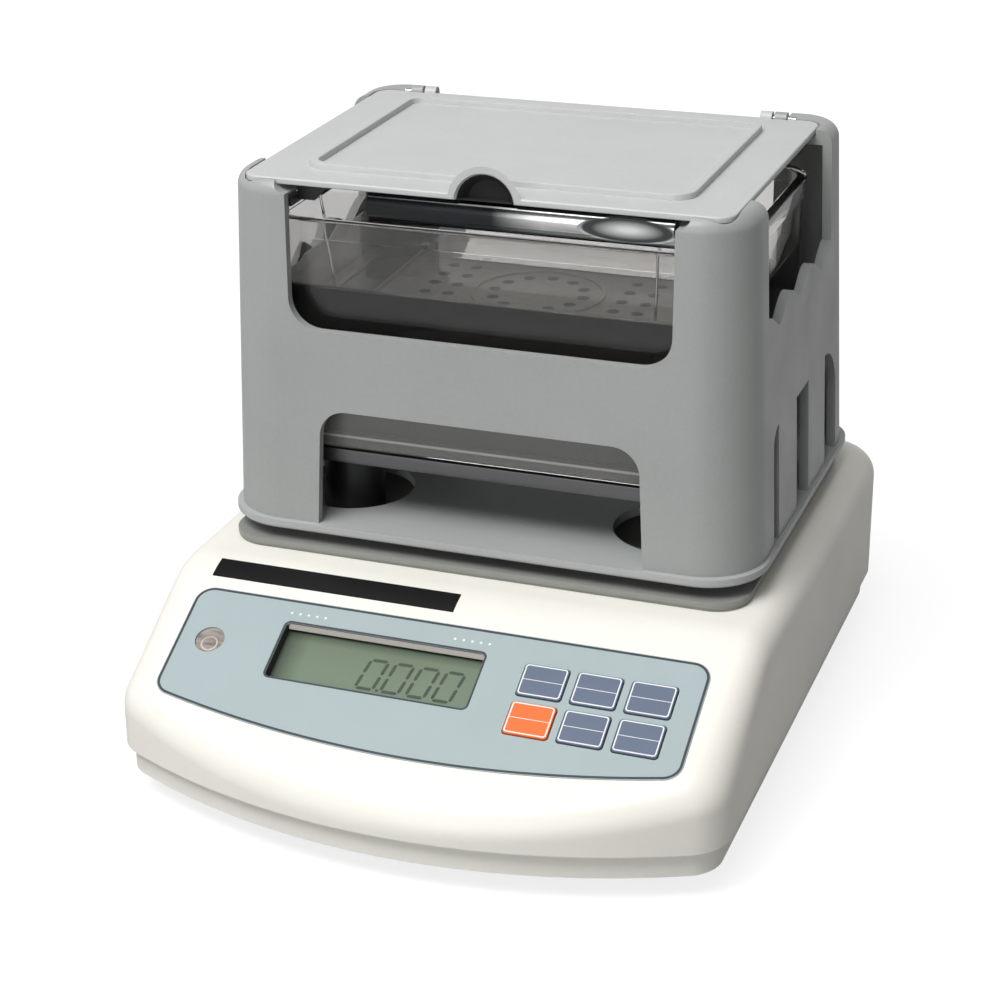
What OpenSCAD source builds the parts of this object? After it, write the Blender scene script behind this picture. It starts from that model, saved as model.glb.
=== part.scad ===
/* [Housing] */
// Width of the housing
body_w = 195; // [175:1:240]
// Depth of the housing, from the middle of the front bow to the rear face
body_d = 242; // [215:1:300]
// Height of the flat top above the floor
body_h = 62; // [56:1:76]
// Radius of the bowed front in plan
bow_r = 202; // [170:1:400]
// Plan radius of the front corners
front_corner_r = 15; // [13:0.5:22]
// Plan radius of the rear corners
rear_corner_r = 18; // [12:0.5:26]
// Rounding along the top edges
edge_r = 9; // [6:0.5:12]
// Rounding of the nose between front and control slope
nose_r = 12; // [8:0.5:13]
// Rounding of the crease between control slope and flat top
crease_r = 30; // [16:1:45]
// Wall of both shells
shell_wall = 3; // [2:0.25:4]
// Height of the seam between the shells
seam_z = 16.5; // [15:0.5:20]
// How far the lower shell stands in from the upper one
lower_inset = 2.5; // [1.5:0.25:4]
// Floor thickness of the lower shell
lower_floor = 2.5; // [2:0.25:4]
// Height of the lip that locates the shells
seam_lip = 2.5; // [1.5:0.25:4]

/* [Control panel] */
// Slope of the control panel in degrees
panel_tilt = 27; // [22:1:32]
// Distance from the bowed front to the crease, in plan
crease_back = 71.8; // [66:0.1:80]
// Distance down the slope from crease to overlay
overlay_setback = 11.7; // [9:0.1:16]
// Width of the printed overlay
overlay_w = 168; // [156:1:170]
// Length of the overlay in its middle
overlay_len = 50.7; // [48:0.1:54]
// Radius of the overlay's bowed front edge
overlay_bow_r = 372; // [250:1:500]
// Corner radius of the overlay
overlay_r = 6; // [3:0.5:10]
// Thickness of the overlay
overlay_t = 0.5; // [0.3:0.1:0.8]
// Depth of the pocket that the overlay lies in
overlay_pocket = 0.3; // [0.2:0.05:0.5]
// Display window width
lcd_w = 65.5; // [55:0.5:70]
// Display window height along the slope
lcd_h = 20.5; // [16:0.5:24]
// Sideways place of the display window's middle
lcd_x = -17.75; // [-22:0.25:-15]
// Place of the display window's middle down the slope
lcd_s = 19.25; // [17:0.25:22]
// Key width
key_w = 14.2; // [12:0.1:15.5]
// Key length along the slope
key_l = 11.9; // [9:0.1:13]
// Key spacing sideways
key_pitch_x = 16.7; // [16.2:0.1:18]
// Key spacing along the slope
key_pitch_s = 14; // [13.7:0.1:16]
// Sideways place of the middle key column
key_x = 52.2; // [50:0.1:56]
// Place of the key block's middle down the slope
key_s = 23; // [20:0.5:26]
// Travel of a key
key_travel = 0.4; // [0.2:0.05:0.6]
// Height of a key top above the overlay
key_proud = 0.7; // [0.5:0.1:1.2]
// Window over the bubble level
vial_window_d = 9.6; // [8:0.1:12]
// Sideways place of the bubble level
vial_x = -73; // [-76:0.5:-69]
// Place of the bubble level down the slope
vial_s = 19.9; // [16:0.1:24]
// Length of the bare strip over the crease
strip_w = 82; // [60:1:90]
// Start of the strip on the crease rounding, degrees from the flat top
strip_from = 11.5; // [6:0.5:14]

/* [Weighing frame] */
// Centre of the frame behind the middle of the housing
frame_y = 27; // [22:0.5:32]
// Width of the moulded frame at its foot
frame_w = 175.5; // [160:0.5:177]
// Depth of the moulded frame at its foot
frame_d = 122.5; // [112:0.5:126]
// How much further back the rear columns stand than the front ones, at the foot
rear_out = 13; // [10:0.5:16]
// How much further back the rear columns stand than the front ones, at the top
rear_out_top = 9.5; // [7:0.5:12]
// Plan radius of the rear columns' corners
rear_column_r = 14; // [11:0.5:17]
// How much narrower the frame is at its top, each side
frame_draft_x = 4.45; // [2:0.05:5]
// How much shallower the frame is at its top, each side
frame_draft_y = 1.05; // [0.5:0.05:2]
// Plan radius of the front columns' corners at the foot
frame_r = 20; // [16:0.5:24]
// Plan radius of the front columns' corners at the top
frame_top_r = 17; // [14:0.5:20]
// Height of the moulded frame above its base plate
frame_h = 112; // [100:1:136]
// Wall of the moulded frame
frame_wall = 3; // [2.5:0.1:3.6]
// Thickness of the column caps
cap_t = 5; // [4:0.5:6]
// Rounding over the frame's top edge
cap_round = 5; // [3:0.5:6]
// Width of the front and rear upper windows
window_w = 123; // [112:1:126]
// Height of the upper windows' sill above the base plate
window_sill = 65; // [58:0.5:70]
// Corner radius of the upper windows
window_r = 10; // [5:0.5:14]
// Width of the lower windows at the base plate
low_window_w = 108; // [90:1:120]
// How much narrower the lower windows are at their top, each side
low_window_in = 1.6; // [0:0.1:4]
// Height of the lower windows
low_window_h = 39; // [34:0.5:44]
// Corner radius of the lower windows
low_window_r = 9; // [4:0.5:12]
// Middle of the side cut-outs behind the middle of the tank
side_cut_y = 4.4; // [0:0.1:6]
// Height of the waves' middle above the base plate
wave_z = 72.8; // [70:0.1:78]
// Height of a wave from its middle
wave_amp = 3; // [1:0.1:4]
// Length of one of the three waves along a side cut-out
wave_pitch = 28; // [24:0.5:29]
// Middle of the side slots behind the middle of the tank
slots_y = 6.5; // [4:0.1:8]
// Width of the middle side slot
slot_w = 16.5; // [12:0.5:20]
// Inner edge of the outer side slots, from the middle slot's middle
slot_from = 31.7; // [28:0.1:34]
// Width of the front side slots
slot_front_w = 6.6; // [5:0.2:8]
// Width of the rear side slots
slot_rear_w = 16.6; // [10:0.2:18]
// Height of the side slots
slot_h = 38.5; // [34:0.5:42]
// Width of the base plate
flange_w = 178; // [164:0.5:184]
// Depth of the base plate
flange_d = 126; // [114:0.5:130]
// How much further the base plate reaches back than forward
flange_out = 16; // [12:0.5:19]
// Front corner radius of the base plate
flange_r = 20; // [17:0.5:26]
// Rear corner radius of the base plate
flange_rear_r = 15; // [12:0.5:18]
// How far the stage plate stands in from the base plate's sides
stage_in = 3; // [1:0.5:5]
// Corner radius of the stage plate
stage_r = 12; // [8:0.5:18]
// Thickness of the base plate
flange_t = 3; // [2.5:0.25:4]
// Gap between base plate and stage plate
flange_gap = 4; // [3:0.5:6]
// Weighing deflection of the load cell
weigh_travel = 0.2; // [0.1:0.05:0.3]

/* [Lid] */
// Lid width
lid_w = 155; // [144:0.5:157]
// Lid depth
lid_d = 114; // [106:0.5:115]
// Lid sheet
lid_t = 2; // [1.6:0.1:2.4]
// Corner radius of the lid
lid_r = 5.5; // [3:0.5:8]
// Outer width of the raised rim on the lid
rim_w = 124; // [100:1:130]
// Outer depth of the raised rim on the lid
rim_d = 90; // [70:1:94]
// Height of the raised rim
rim_h = 2; // [1:0.1:3]
// Width of the raised rim's band
rim_band = 3; // [2:0.25:4]
// Outer radius of the thumb hump
hump_r = 11.75; // [9:0.25:14]
// Sideways place of the thumb hump
hump_x = 2; // [-4:0.5:4]
// Length of the thumb hump
hump_len = 14; // [10:0.5:18]
// Wall of the thumb hump
hump_wall = 2.1; // [1.6:0.1:2.5]
// Left end of the polished bar under the lid's front edge
bar_from = -36; // [-50:1:-20]
// Right end of the polished bar
bar_to = 60; // [40:1:60]
// Height of the polished bar
bar_h = 9.7; // [7:0.1:9.8]
// Depth of the polished bar
bar_d = 4.2; // [3.5:0.1:5]
// How much the bar's face bulges
bar_bulge = 2.6; // [1:0.1:3]
// Sideways place of the dimple in the bar's face
dimple_x = 46; // [30:1:50]
// Length of the dimple
dimple_len = 30; // [16:1:32]
// Depth of the dimple
dimple_t = 1.2; // [0.5:0.1:1.5]
// Radius of the hinge knuckles
knuckle_r = 2.2; // [2:0.1:2.6]
// Length of a hinge knuckle
knuckle_len = 4.2; // [3:0.1:6]
// Hinge pin diameter
pin_d = 1.6; // [1.2:0.1:2]

/* [Tank and basket] */
// Width of the water tank over its lip
tank_w = 155; // [140:0.5:156]
// Depth of the water tank over its lip
tank_d = 108; // [98:0.5:108]
// Height of the water tank
tank_h = 76; // [66:1:77]
// Wall of the tank
tank_wall = 2.75; // [2:0.25:3.5]
// Floor of the tank
tank_floor = 5; // [3:0.5:6]
// Corner radius of the tank's lip
tank_r = 17; // [14:0.5:24]
// Height of the lip band
lip_h = 6; // [4:0.5:8]
// How far the lip band stands out
lip_out = 0.8; // [0.5:0.1:1.2]
// Draft of the tank, each side
tank_draft = 1.6; // [0.5:0.1:3]
// Diameter of the posts that carry the tank
post_d = 20; // [16:0.5:24]
// Sideways place of the posts
post_x = 55; // [48:0.5:58]
// Place of the posts before and behind the middle
post_y = 28; // [26:0.5:34]
// Diameter of the base plate's holes round the posts
post_hole_d = 39.6; // [32:0.2:42]
// Height of the posts above the stage plate
post_h = 23; // [18:0.5:26]
// Rubber pad on each post
post_pad_t = 1.5; // [1:0.25:2.5]
// Thickness of the tank platform
platform_t = 5; // [3:0.5:7]
// Tray width
tray_w = 102; // [90:1:104]
// Tray depth
tray_d = 80; // [66:1:84]
// Height of the tray over the tank floor
tray_lift = 10.5; // [8:0.5:16]
// Tray sheet
tray_t = 1.2; // [0.8:0.1:2]
// Hanger rail width
rail_w = 8.8; // [7:0.2:9.2]
// Hanger rail height
rail_h = 4.8; // [4.2:0.1:5]
// Hanger wire diameter
wire_d = 0.9; // [0.8:0.1:1.2]

/* [Load cell] */
// Load cell length
cell_len = 130; // [110:1:136]
// Load cell width
cell_w = 30; // [24:0.5:34]
// Load cell height
cell_h = 22; // [18:0.5:24]
// Diameter of the spring holes through the cell
cell_hole_d = 14; // [10:0.5:15]
// Spigot diameter
spigot_d = 12; // [10:0.5:16]

/* [Feet and rear] */
// Diameter of a levelling wheel
foot_d = 24; // [20:0.5:30]
// Rubber pad thickness
foot_pad_t = 2.6; // [2:0.1:3.5]
// Floor to lower shell
foot_h = 8; // [7.5:0.25:12]
// Foot stud diameter
stud_d = 6; // [5:0.5:8]
// Foot distance in from the sides
foot_in_x = 25.5; // [22:0.5:32]
// Foot distance in from the front bow
foot_in_front = 41; // [36:0.5:50]
// Foot distance in from the rear
foot_in_rear = 29; // [24:0.5:36]
// Height of the rear connectors above the floor
rear_z = 35; // [32:0.5:38]
// Power rocker opening width
rocker_w = 12.4; // [11:0.1:14]
// Power rocker opening height
rocker_h = 18.4; // [17:0.1:20]
// Swing of the power rocker in degrees
rocker_swing = 16; // [10:1:18]

/* [Fits] */
// Clearance round keys and other pieces that slide in a window
slide_gap = 0.15; // [0.1:0.05:0.25]
// Clearance round pieces set into a pocket
set_gap = 0.1; // [0.05:0.05:0.2]
// Radial clearance of a turning pin
turn_gap = 0.05; // [0.03:0.01:0.1]
// Gap under pieces that are lifted off
rest_gap = 0.3; // [0.2:0.05:0.4]
// Gap between lid and recess
lid_gap = 0.4; // [0.3:0.05:0.6]

/* [Hidden] */
$fn = 64;
arc_steps = 18;
big = 400;
cut = 1;

front_y = -body_d / 2;
rear_y = body_d / 2;
half_w = body_w / 2;
crease_y = front_y + crease_back;
bow_cy = front_y + bow_r;
front_cx = half_w - front_corner_r;
front_cy = bow_cy - sqrt(pow(bow_r - front_corner_r, 2) - pow(front_cx, 2));
rear_cx = half_w - rear_corner_r;
rear_cy = rear_y - rear_corner_r;
bow_half_angle = asin(front_cx / (bow_r - front_corner_r));
overlay_y = crease_y - overlay_setback * cos(panel_tilt);
overlay_z = body_h - overlay_setback * sin(panel_tilt);
crease_cy = crease_y + crease_r * tan(panel_tilt / 2);
crease_cz = body_h - crease_r;
function slope_z(y) = body_h - (crease_y - y) * tan(panel_tilt);
function slope_centre_z(y, r) = slope_z(y) - r / cos(panel_tilt);

stage_t = 3;
stage_top = body_h + stage_t;
flange_z = stage_top + flange_gap;
box_z = flange_z + flange_t;
box_top = box_z + frame_h;
lid_z = box_top - lid_t;
lid_recess_z = lid_z - 0.2;
hinge_y = lid_d / 2 + 1.2;
hinge_z = box_top - 0.4;
hinge_x = window_w / 2;
pads_z = stage_top + post_h;
platform_z = pads_z + post_pad_t;
tank_z = platform_z + platform_t;
tank_top = tank_z + tank_h;
tank_half_x = tank_w / 2 - lip_out;
tank_half_y = tank_d / 2 - lip_out;
rail_z = lid_z - 1 - rail_h;
rail_x = hinge_x - 0.7;
rail_front = 51.8;
rail_rear = 56;
rail_chamfer = 3.2;
rail_tongue_h = 2.6;
rail_tongue_z = rail_z - 1;
rail_tongue_out = 7.7;
rail_end = frame_d / 2 - frame_draft_y - frame_wall - 0.5;
ledge_in = tank_d / 2 + 0.6;
ledge_x = hinge_x + 4.8;
ledge_w = 7.6;
ledge_h = 2.6;
ledge_z = rail_tongue_z - rest_gap;
tray_z = tank_z + tank_floor + tray_lift;
tray_rim = 3;
tray_rim_t = 1;
wire_top_y = 50;
wire_top_x = rail_x - 6.6;
wire_top_z = rail_z + 2.6;
wire_in = 1.4;

plate_z = foot_h + lower_floor;
plate_t = 2;
chassis_top = plate_z + plate_t;
chassis_half = 58;
chassis_front = frame_y - cell_len / 2 - 28;
chassis_rear = frame_y + cell_len / 2 + 16;
block_h = 7.5;
block_len = 26;
cell_z = chassis_top + block_h;
cell_top = cell_z + cell_h;
cell_front = frame_y - cell_len / 2;
cell_rear = frame_y + cell_len / 2;
bracket_foot_h = 2.2;
bracket_t = 4;
bracket_z = cell_top + rest_gap + bracket_foot_h;
bracket_half = 20;
bracket_rear = frame_y + 15;
spigot_z = bracket_z + bracket_t;
spigot_stub_d = spigot_d - 2;
screw_d = 4;
screw_head_d = 7;
screw_head_h = 3;

board_z = -14;
board_t = 1.6;
board_top = board_z + board_t;
board_x0 = vial_x - 11;
board_x1 = key_x + key_pitch_x + key_w / 2 + 8;
board_s0 = 3;
board_s1 = 42;
glass_z = -2.8;
post_left_x = vial_x + 15.5;
post_right_x = board_x1 - 4;
post_rear_s = board_s0 + 4;
post_front_s = board_s1 - 4;
boss_d = 6;
switch_w = 6;
switch_h = 4.4;
plunger_d = 3;
key_flange_z = -shell_wall - key_travel - 1;
plunger_top = key_flange_z - key_travel - rest_gap;
holder_d = 12.6;
holder_wall = 1;
vial_depth = 6.9;

recess_d = 3.5;
recess_y = rear_y - recess_d;
recess_pad = 5.5;
recess_half_w = 76;
recess_half_h = 14;
rocker_x = 55;
dc_x = -50;
serial_x = 0;
rocker_rim = 1.6;
rocker_flange_t = 2;
rocker_pivot_y = recess_y - 2;
rocker_pin_d = 3;

foot_x = half_w - foot_in_x;
foot_front_y = front_y + foot_in_front;
foot_rear_y = rear_y - foot_in_rear;
feet = [[-foot_x, foot_front_y], [foot_x, foot_front_y], [-foot_x, foot_rear_y], [foot_x, foot_rear_y]];
foot_boss_d = stud_d + 7;
foot_boss_top = seam_z + 3;
frame_boss_d = 7.4;
frame_boss_h = 11;
frame_boss_seat = 0.8;
frame_boss_in = frame_wall + frame_boss_d / 2 - frame_boss_seat;
frame_front = frame_d / 2;
frame_rear = frame_front + rear_out;
flange_front = flange_d / 2;
flange_rear = flange_front + flange_out;
side_cut_d = 3 * wave_pitch;
function boss_at(hy, r) = [
    frame_w / 2 - r + (r - frame_boss_in) * cos(45),
    hy - r + (r - frame_boss_in) * cos(45)
];
front_boss = boss_at(frame_front, frame_r);
rear_boss = boss_at(frame_rear, rear_column_r);
frame_bosses = [
    [-front_boss[0], -front_boss[1]], [front_boss[0], -front_boss[1]],
    [-rear_boss[0], rear_boss[1]], [rear_boss[0], rear_boss[1]]
];
shell_boss_x = half_w - 8.2;
shell_boss_front = front_y + 50;
shell_boss_rear = rear_y - 15;
shell_boss_d = 8;
boss_seam_z = seam_z + 0.4;
shell_bosses = [
    [-shell_boss_x, shell_boss_front], [shell_boss_x, shell_boss_front],
    [-shell_boss_x, shell_boss_rear], [shell_boss_x, shell_boss_rear]
];

function arc(c, r, a0, a1, n) = [for (i = [0:n]) let (a = a0 + (a1 - a0) * i / n) [c[0] + r * cos(a), c[1] + r * sin(a)]];

// Outline in plan with a bowed front, moved in by d
function plan(d) = concat(
    arc([0, bow_cy], bow_r - d, 270 - bow_half_angle, 270 + bow_half_angle, arc_steps),
    arc([front_cx, front_cy], front_corner_r - d, bow_half_angle - 90, 0, 8),
    arc([rear_cx, rear_cy], rear_corner_r - d, 0, 90, 8),
    arc([-rear_cx, rear_cy], rear_corner_r - d, 90, 180, 8),
    arc([-front_cx, front_cy], front_corner_r - d, 180, 270 - bow_half_angle, 8)
);

// Outline of the overlay in the plane of the slope, grown by g
function overlay_outline(g) =
    let (
        hw = overlay_w / 2 + g,
        r = overlay_r + g,
        br = overlay_bow_r + g,
        cy = -overlay_len + overlay_bow_r,
        cx = hw - r,
        fy = cy - sqrt(pow(br - r, 2) - pow(cx, 2)),
        a = asin(cx / (br - r))
    )
    concat(
        arc([0, cy], br, 270 - a, 270 + a, arc_steps),
        arc([cx, fy], r, a - 90, 0, 6),
        arc([cx, g - r], r, 0, 90, 6),
        arc([-cx, g - r], r, 90, 180, 6),
        arc([-cx, fy], r, 180, 270 - a, 6)
    );

module flat_rounded(w, d, r) {
    square([w - 2 * r, d], center = true);
    square([w, d - 2 * r], center = true);
    for (x = [-1, 1], y = [-1, 1]) {
        translate([x * (w / 2 - r), y * (d / 2 - r)])
            circle(r = r);
    }
}

module rounded_block(w, d, h, r) {
    linear_extrude(height = h)
        flat_rounded(w, d, r);
}

// Outline that reaches unequally far forward and back
module flat_uneven(w, front, rear, rf, rr) {
    translate([-w / 2, rf - front])
        square([w, front + rear - rf - rr]);
    translate([rf - w / 2, -front])
        square([w - 2 * rf, front]);
    translate([rr - w / 2, -cut])
        square([w - 2 * rr, rear + cut]);
    for (x = [-1, 1]) {
        translate([x * (w / 2 - rf), rf - front])
            circle(r = rf);
        translate([x * (w / 2 - rr), rear - rr])
            circle(r = rr);
    }
}

module uneven_block(w, front, rear, h, rf, rr) {
    linear_extrude(height = h)
        flat_uneven(w, front, rear, rf, rr);
}

// Discs over the four columns, which a hull joins to a tapering block
module column_discs(hx, front, rear, rf, rr, z) {
    for (x = [-1, 1]) {
        translate([x * (hx - rf), rf - front, z])
            cylinder(r = rf, h = 0.02, $fn = 48);
        translate([x * (hx - rr), rear - rr, z])
            cylinder(r = rr, h = 0.02, $fn = 48);
    }
}

// Four discs that a hull joins to a tapering block
module corner_discs(hw, hd, r, z) {
    for (x = [-1, 1], y = [-1, 1]) {
        translate([x * (hw - r), y * (hd - r), z])
            cylinder(r = r, h = 0.02, $fn = 48);
    }
}

// Panel frame: x sideways, y up the slope from the overlay's rear edge, z out of the slope
module on_slope() {
    translate([0, overlay_y, overlay_z])
        rotate([panel_tilt, 0, 0])
            children();
}

module in_frame() {
    translate([0, frame_y, 0])
        children();
}

module rod(a, b, d) {
    v = b - a;
    len = norm(v);
    translate(a)
        rotate([0, acos(v[2] / len), atan2(v[1], v[0])])
            cylinder(d = d, h = len, $fn = 24);
}

module key_place(col, row) {
    translate([key_x + col * key_pitch_x, -key_s - row * key_pitch_s / 2, 0])
        children();
}

// Convex outer form of the upper shell, moved in by d
module shell_form(d, fn) {
    hull() {
        translate([0, 0, seam_z - (d > 0 ? cut : 0)])
            linear_extrude(height = 1 + (d > 0 ? cut : 0))
                polygon(plan(d));
        for (p = arc([rear_cx, rear_cy], rear_corner_r - edge_r, 0, 90, 3), m = [-1, 1]) {
            translate([m * p[0], p[1], body_h - edge_r])
                sphere(r = edge_r - d, $fn = fn);
        }
        for (t = [0, panel_tilt / 3, 2 * panel_tilt / 3, panel_tilt], m = [-1, 1]) {
            translate([
                m * (half_w - edge_r),
                crease_cy - (crease_r - edge_r) * sin(t),
                crease_cz + (crease_r - edge_r) * cos(t)
            ])
                sphere(r = edge_r - d, $fn = fn);
        }
        for (p = arc([0, bow_cy], bow_r - nose_r, 270 - bow_half_angle, 270 + bow_half_angle, 8)) {
            translate([p[0], p[1], slope_centre_z(p[1], nose_r)])
                sphere(r = nose_r - d, $fn = fn);
        }
        for (p = arc([front_cx, front_cy], front_corner_r - nose_r, bow_half_angle - 90, 0, 2), m = [-1, 1]) {
            translate([m * p[0], p[1], slope_centre_z(p[1], nose_r)])
                sphere(r = nose_r - d, $fn = fn);
        }
    }
}

module panel_cuts(g) {
    translate([lcd_x, -lcd_s, 0])
        flat_rounded(lcd_w + 2 * g, lcd_h + 2 * g, 2);
    for (c = [-1:1], r = [-1, 1]) {
        key_place(c, r)
            flat_rounded(key_w + 2 * g, key_l + 2 * g, 1.2);
    }
}

module upper_shell() {
    color([0.95, 0.94, 0.9])
    difference() {
        union() {
            difference() {
                shell_form(0, 28);
                shell_form(shell_wall, 20);
            }
            for (p = shell_bosses) {
                translate([p[0], p[1], boss_seam_z])
                    cylinder(d = shell_boss_d, h = min(body_h, slope_z(p[1])) - boss_seam_z - shell_wall / 2 - 1);
            }
            translate([-recess_half_w - 3, recess_y - recess_pad, rear_z - recess_half_h - 2])
                cube([2 * recess_half_w + 6, recess_pad + 1, 2 * recess_half_h + 4]);
            on_slope()
                for (x = [post_left_x, post_right_x], s = [post_rear_s, post_front_s]) {
                    translate([x, -s, board_top])
                        cylinder(d = boss_d, h = -board_top - shell_wall / 2);
                }
        }
        translate([-big / 2, -big / 2, seam_z - big])
            cube([big, big, big]);
        on_slope() {
            translate([0, 0, -overlay_pocket])
                linear_extrude(height = 6)
                    polygon(overlay_outline(set_gap));
            translate([0, 0, -2 * shell_wall])
                linear_extrude(height = 10) {
                    for (c = [-1:1], r = [-1, 1]) {
                        key_place(c, r)
                            flat_rounded(key_w + 2 * slide_gap, key_l + 2 * slide_gap, 1.2);
                    }
                    translate([lcd_x, -lcd_s])
                        flat_rounded(lcd_w + 5 + 2 * set_gap, lcd_h + 5 + 2 * set_gap, 2);
                    translate([vial_x, -vial_s])
                        circle(d = vial_window_d + 3.4);
                }
        }
        difference() {
            translate([-strip_w - set_gap, crease_cy, crease_cz])
                rotate([0, 90, 0])
                    cylinder(r = crease_r + 3, h = strip_w + 2 * set_gap, $fn = 128);
            translate([-strip_w - cut, crease_cy, crease_cz])
                rotate([0, 90, 0])
                    cylinder(r = crease_r - 0.3, h = strip_w + 2 * cut, $fn = 128);
            translate([-big / 2, crease_cy, crease_cz])
                rotate([strip_from, 0, 0])
                    translate([0, 0, -big / 2])
                        cube([big, big, big]);
            translate([-big / 2, crease_cy, crease_cz])
                rotate([panel_tilt, 0, 0])
                    translate([0, -big, -big / 2])
                        cube([big, big, big]);
        }
        in_frame()
            translate([0, 0, body_h - edge_r])
                cylinder(d = spigot_d + 4, h = edge_r + cut);
        for (p = shell_bosses) {
            translate([p[0], p[1], seam_z])
                cylinder(d = 3, h = 10);
        }
        translate([-recess_half_w, recess_y, rear_z - recess_half_h])
            cube([2 * recess_half_w, recess_d + cut, 2 * recess_half_h]);
        translate([rocker_x, recess_y - recess_pad - cut, rear_z])
            translate([-(rocker_w + 2) / 2, 0, -(rocker_h + 2) / 2])
                cube([rocker_w + 2, recess_pad + 2 * cut, rocker_h + 2]);
        translate([dc_x, recess_y - recess_pad - cut, rear_z])
            rotate([-90, 0, 0])
                cylinder(d = 10.2, h = recess_pad + 2 * cut);
        translate([serial_x - 9.2, recess_y - recess_pad - cut, rear_z - 5.6])
            cube([18.4, recess_pad + 2 * cut, 11.2]);
    }
}

module lower_shell() {
    color([0.9, 0.89, 0.85])
    difference() {
        union() {
            translate([0, 0, foot_h])
                linear_extrude(height = seam_z - foot_h)
                    polygon(plan(lower_inset));
            translate([0, 0, seam_z - cut])
                linear_extrude(height = seam_lip + cut)
                    polygon(plan(shell_wall + rest_gap));
        }
        difference() {
            translate([0, 0, plate_z])
                linear_extrude(height = seam_z)
                    polygon(plan(lower_inset + shell_wall));
            for (p = feet) {
                translate([p[0], p[1], foot_h])
                    cylinder(d = foot_boss_d, h = foot_boss_top - foot_h);
            }
            for (p = shell_bosses) {
                translate([p[0], p[1], foot_h])
                    cylinder(d = shell_boss_d + 1, h = boss_seam_z - foot_h);
            }
        }
        for (p = feet) {
            translate([p[0], p[1], foot_h - cut])
                cylinder(d = stud_d + 2 * turn_gap, h = big / 4);
        }
        for (p = shell_bosses) {
            translate([p[0], p[1], foot_h - cut])
                cylinder(d = 3.4, h = big / 4);
            translate([p[0], p[1], foot_h - cut])
                cylinder(d = 6.8, h = cut + 3.4);
            translate([p[0], p[1], boss_seam_z])
                cylinder(d = shell_boss_d + 2 * rest_gap, h = seam_lip + cut);
        }
        for (x = [-1, 1], i = [-2:2]) {
            translate([x * 34 - 11, frame_y + i * 7 - 1.25, foot_h - cut])
                cube([22, 2.5, 1 + cut]);
        }
    }
}

module chassis_plate() {
    color([0.72, 0.73, 0.75])
    difference() {
        union() {
            translate([0, (chassis_front + chassis_rear) / 2, plate_z])
                rounded_block(2 * chassis_half, chassis_rear - chassis_front, plate_t, 6);
            for (x = [26, 52], y = [-34, 34]) {
                translate([x, frame_y + y, chassis_top])
                    cylinder(d = 6, h = 4);
            }
        }
        for (y = [cell_rear - 7, cell_rear - 19]) {
            translate([0, y, plate_z - cut])
                cylinder(d = screw_d + 2 * turn_gap, h = plate_t + 2 * cut);
        }
    }
}

module stage_plate() {
    w = flange_w - 2 * stage_in;
    front = flange_front + 0.5;
    rear = flange_rear - stage_in;
    color([0.5, 0.5, 0.49])
    in_frame()
        difference() {
            union() {
                translate([0, 0, body_h])
                    uneven_block(w - 1, front - 0.5, rear - 0.5, 1, stage_r - 0.5, stage_r - 0.5);
                translate([0, 0, body_h + 1])
                    uneven_block(w, front, rear, stage_t - 1, stage_r, stage_r);
            }
            translate([0, 0, body_h - cut])
                cylinder(d = spigot_d + 4, h = stage_t + 2 * cut);
        }
}

module control_overlay() {
    color([0.7, 0.76, 0.77])
    on_slope()
        translate([0, 0, -overlay_pocket])
            linear_extrude(height = overlay_t)
                difference() {
                    polygon(overlay_outline(0));
                    panel_cuts(slide_gap);
                    translate([vial_x, -vial_s])
                        circle(d = vial_window_d);
                }
}

module label_strip() {
    color([0.08, 0.08, 0.09])
    translate([-strip_w, crease_cy, crease_cz])
        rotate([0, 90, 0])
            rotate([0, 0, 180 + strip_from + 0.2])
                rotate_extrude(angle = panel_tilt - strip_from - 0.4, $fn = 128)
                    translate([crease_r - 0.3, 0])
                        square([0.5, strip_w]);
}

module lcd_bezel() {
    color([0.78, 0.8, 0.79])
    on_slope()
        translate([lcd_x, -lcd_s, glass_z])
            difference() {
                rounded_block(lcd_w + 5, lcd_h + 5, -glass_z - overlay_pocket, 2);
                translate([0, 0, -cut])
                    rounded_block(lcd_w, lcd_h, 4 + cut, 2);
                translate([-lcd_w / 2, lcd_h / 2 - 0.5, 1])
                    rotate([45, 0, 0])
                        cube([lcd_w, 3, 3]);
            }
}

module lcd_module() {
    color([0.5, 0.56, 0.47])
    on_slope() {
        translate([lcd_x, -lcd_s, glass_z - 2.2])
            rounded_block(lcd_w + 4, lcd_h + 4, 2.2, 0.6);
        translate([lcd_x - lcd_w / 2 - 1, -lcd_s - lcd_h / 2 - 1, board_top])
            cube([lcd_w + 2, lcd_h + 2, glass_z - 2.2 - board_top]);
    }
}

module vial_axis() {
    translate([
        vial_x,
        overlay_y - vial_s * cos(panel_tilt),
        overlay_z - vial_s * sin(panel_tilt) - vial_depth
    ])
        children();
}

module level_vial() {
    color([0.85, 0.83, 0.5, 0.6])
    vial_axis()
        translate([0, 0, -4])
            cylinder(d = holder_d - 2 * holder_wall - 2 * set_gap, h = 3.8);
}

module level_holder() {
    color([0.55, 0.5, 0.45])
    difference() {
        intersection() {
            vial_axis()
                translate([0, 0, -22])
                    cylinder(d = holder_d, h = 22);
            on_slope()
                translate([-big / 2, -big / 2, board_top])
                    cube([big, big, big]);
        }
        vial_axis()
            translate([0, 0, -4 - set_gap])
                cylinder(d = holder_d - 2 * holder_wall, h = 5);
    }
}

module display_board() {
    color([0.1, 0.35, 0.2])
    on_slope()
        difference() {
            translate([board_x0, -board_s1, board_z])
                cube([board_x1 - board_x0, board_s1 - board_s0, board_t]);
            for (x = [post_left_x, post_right_x], s = [post_rear_s, post_front_s]) {
                translate([x, -s, board_z - cut])
                    cylinder(d = 2.6, h = board_t + 2 * cut);
            }
        }
}

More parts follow.
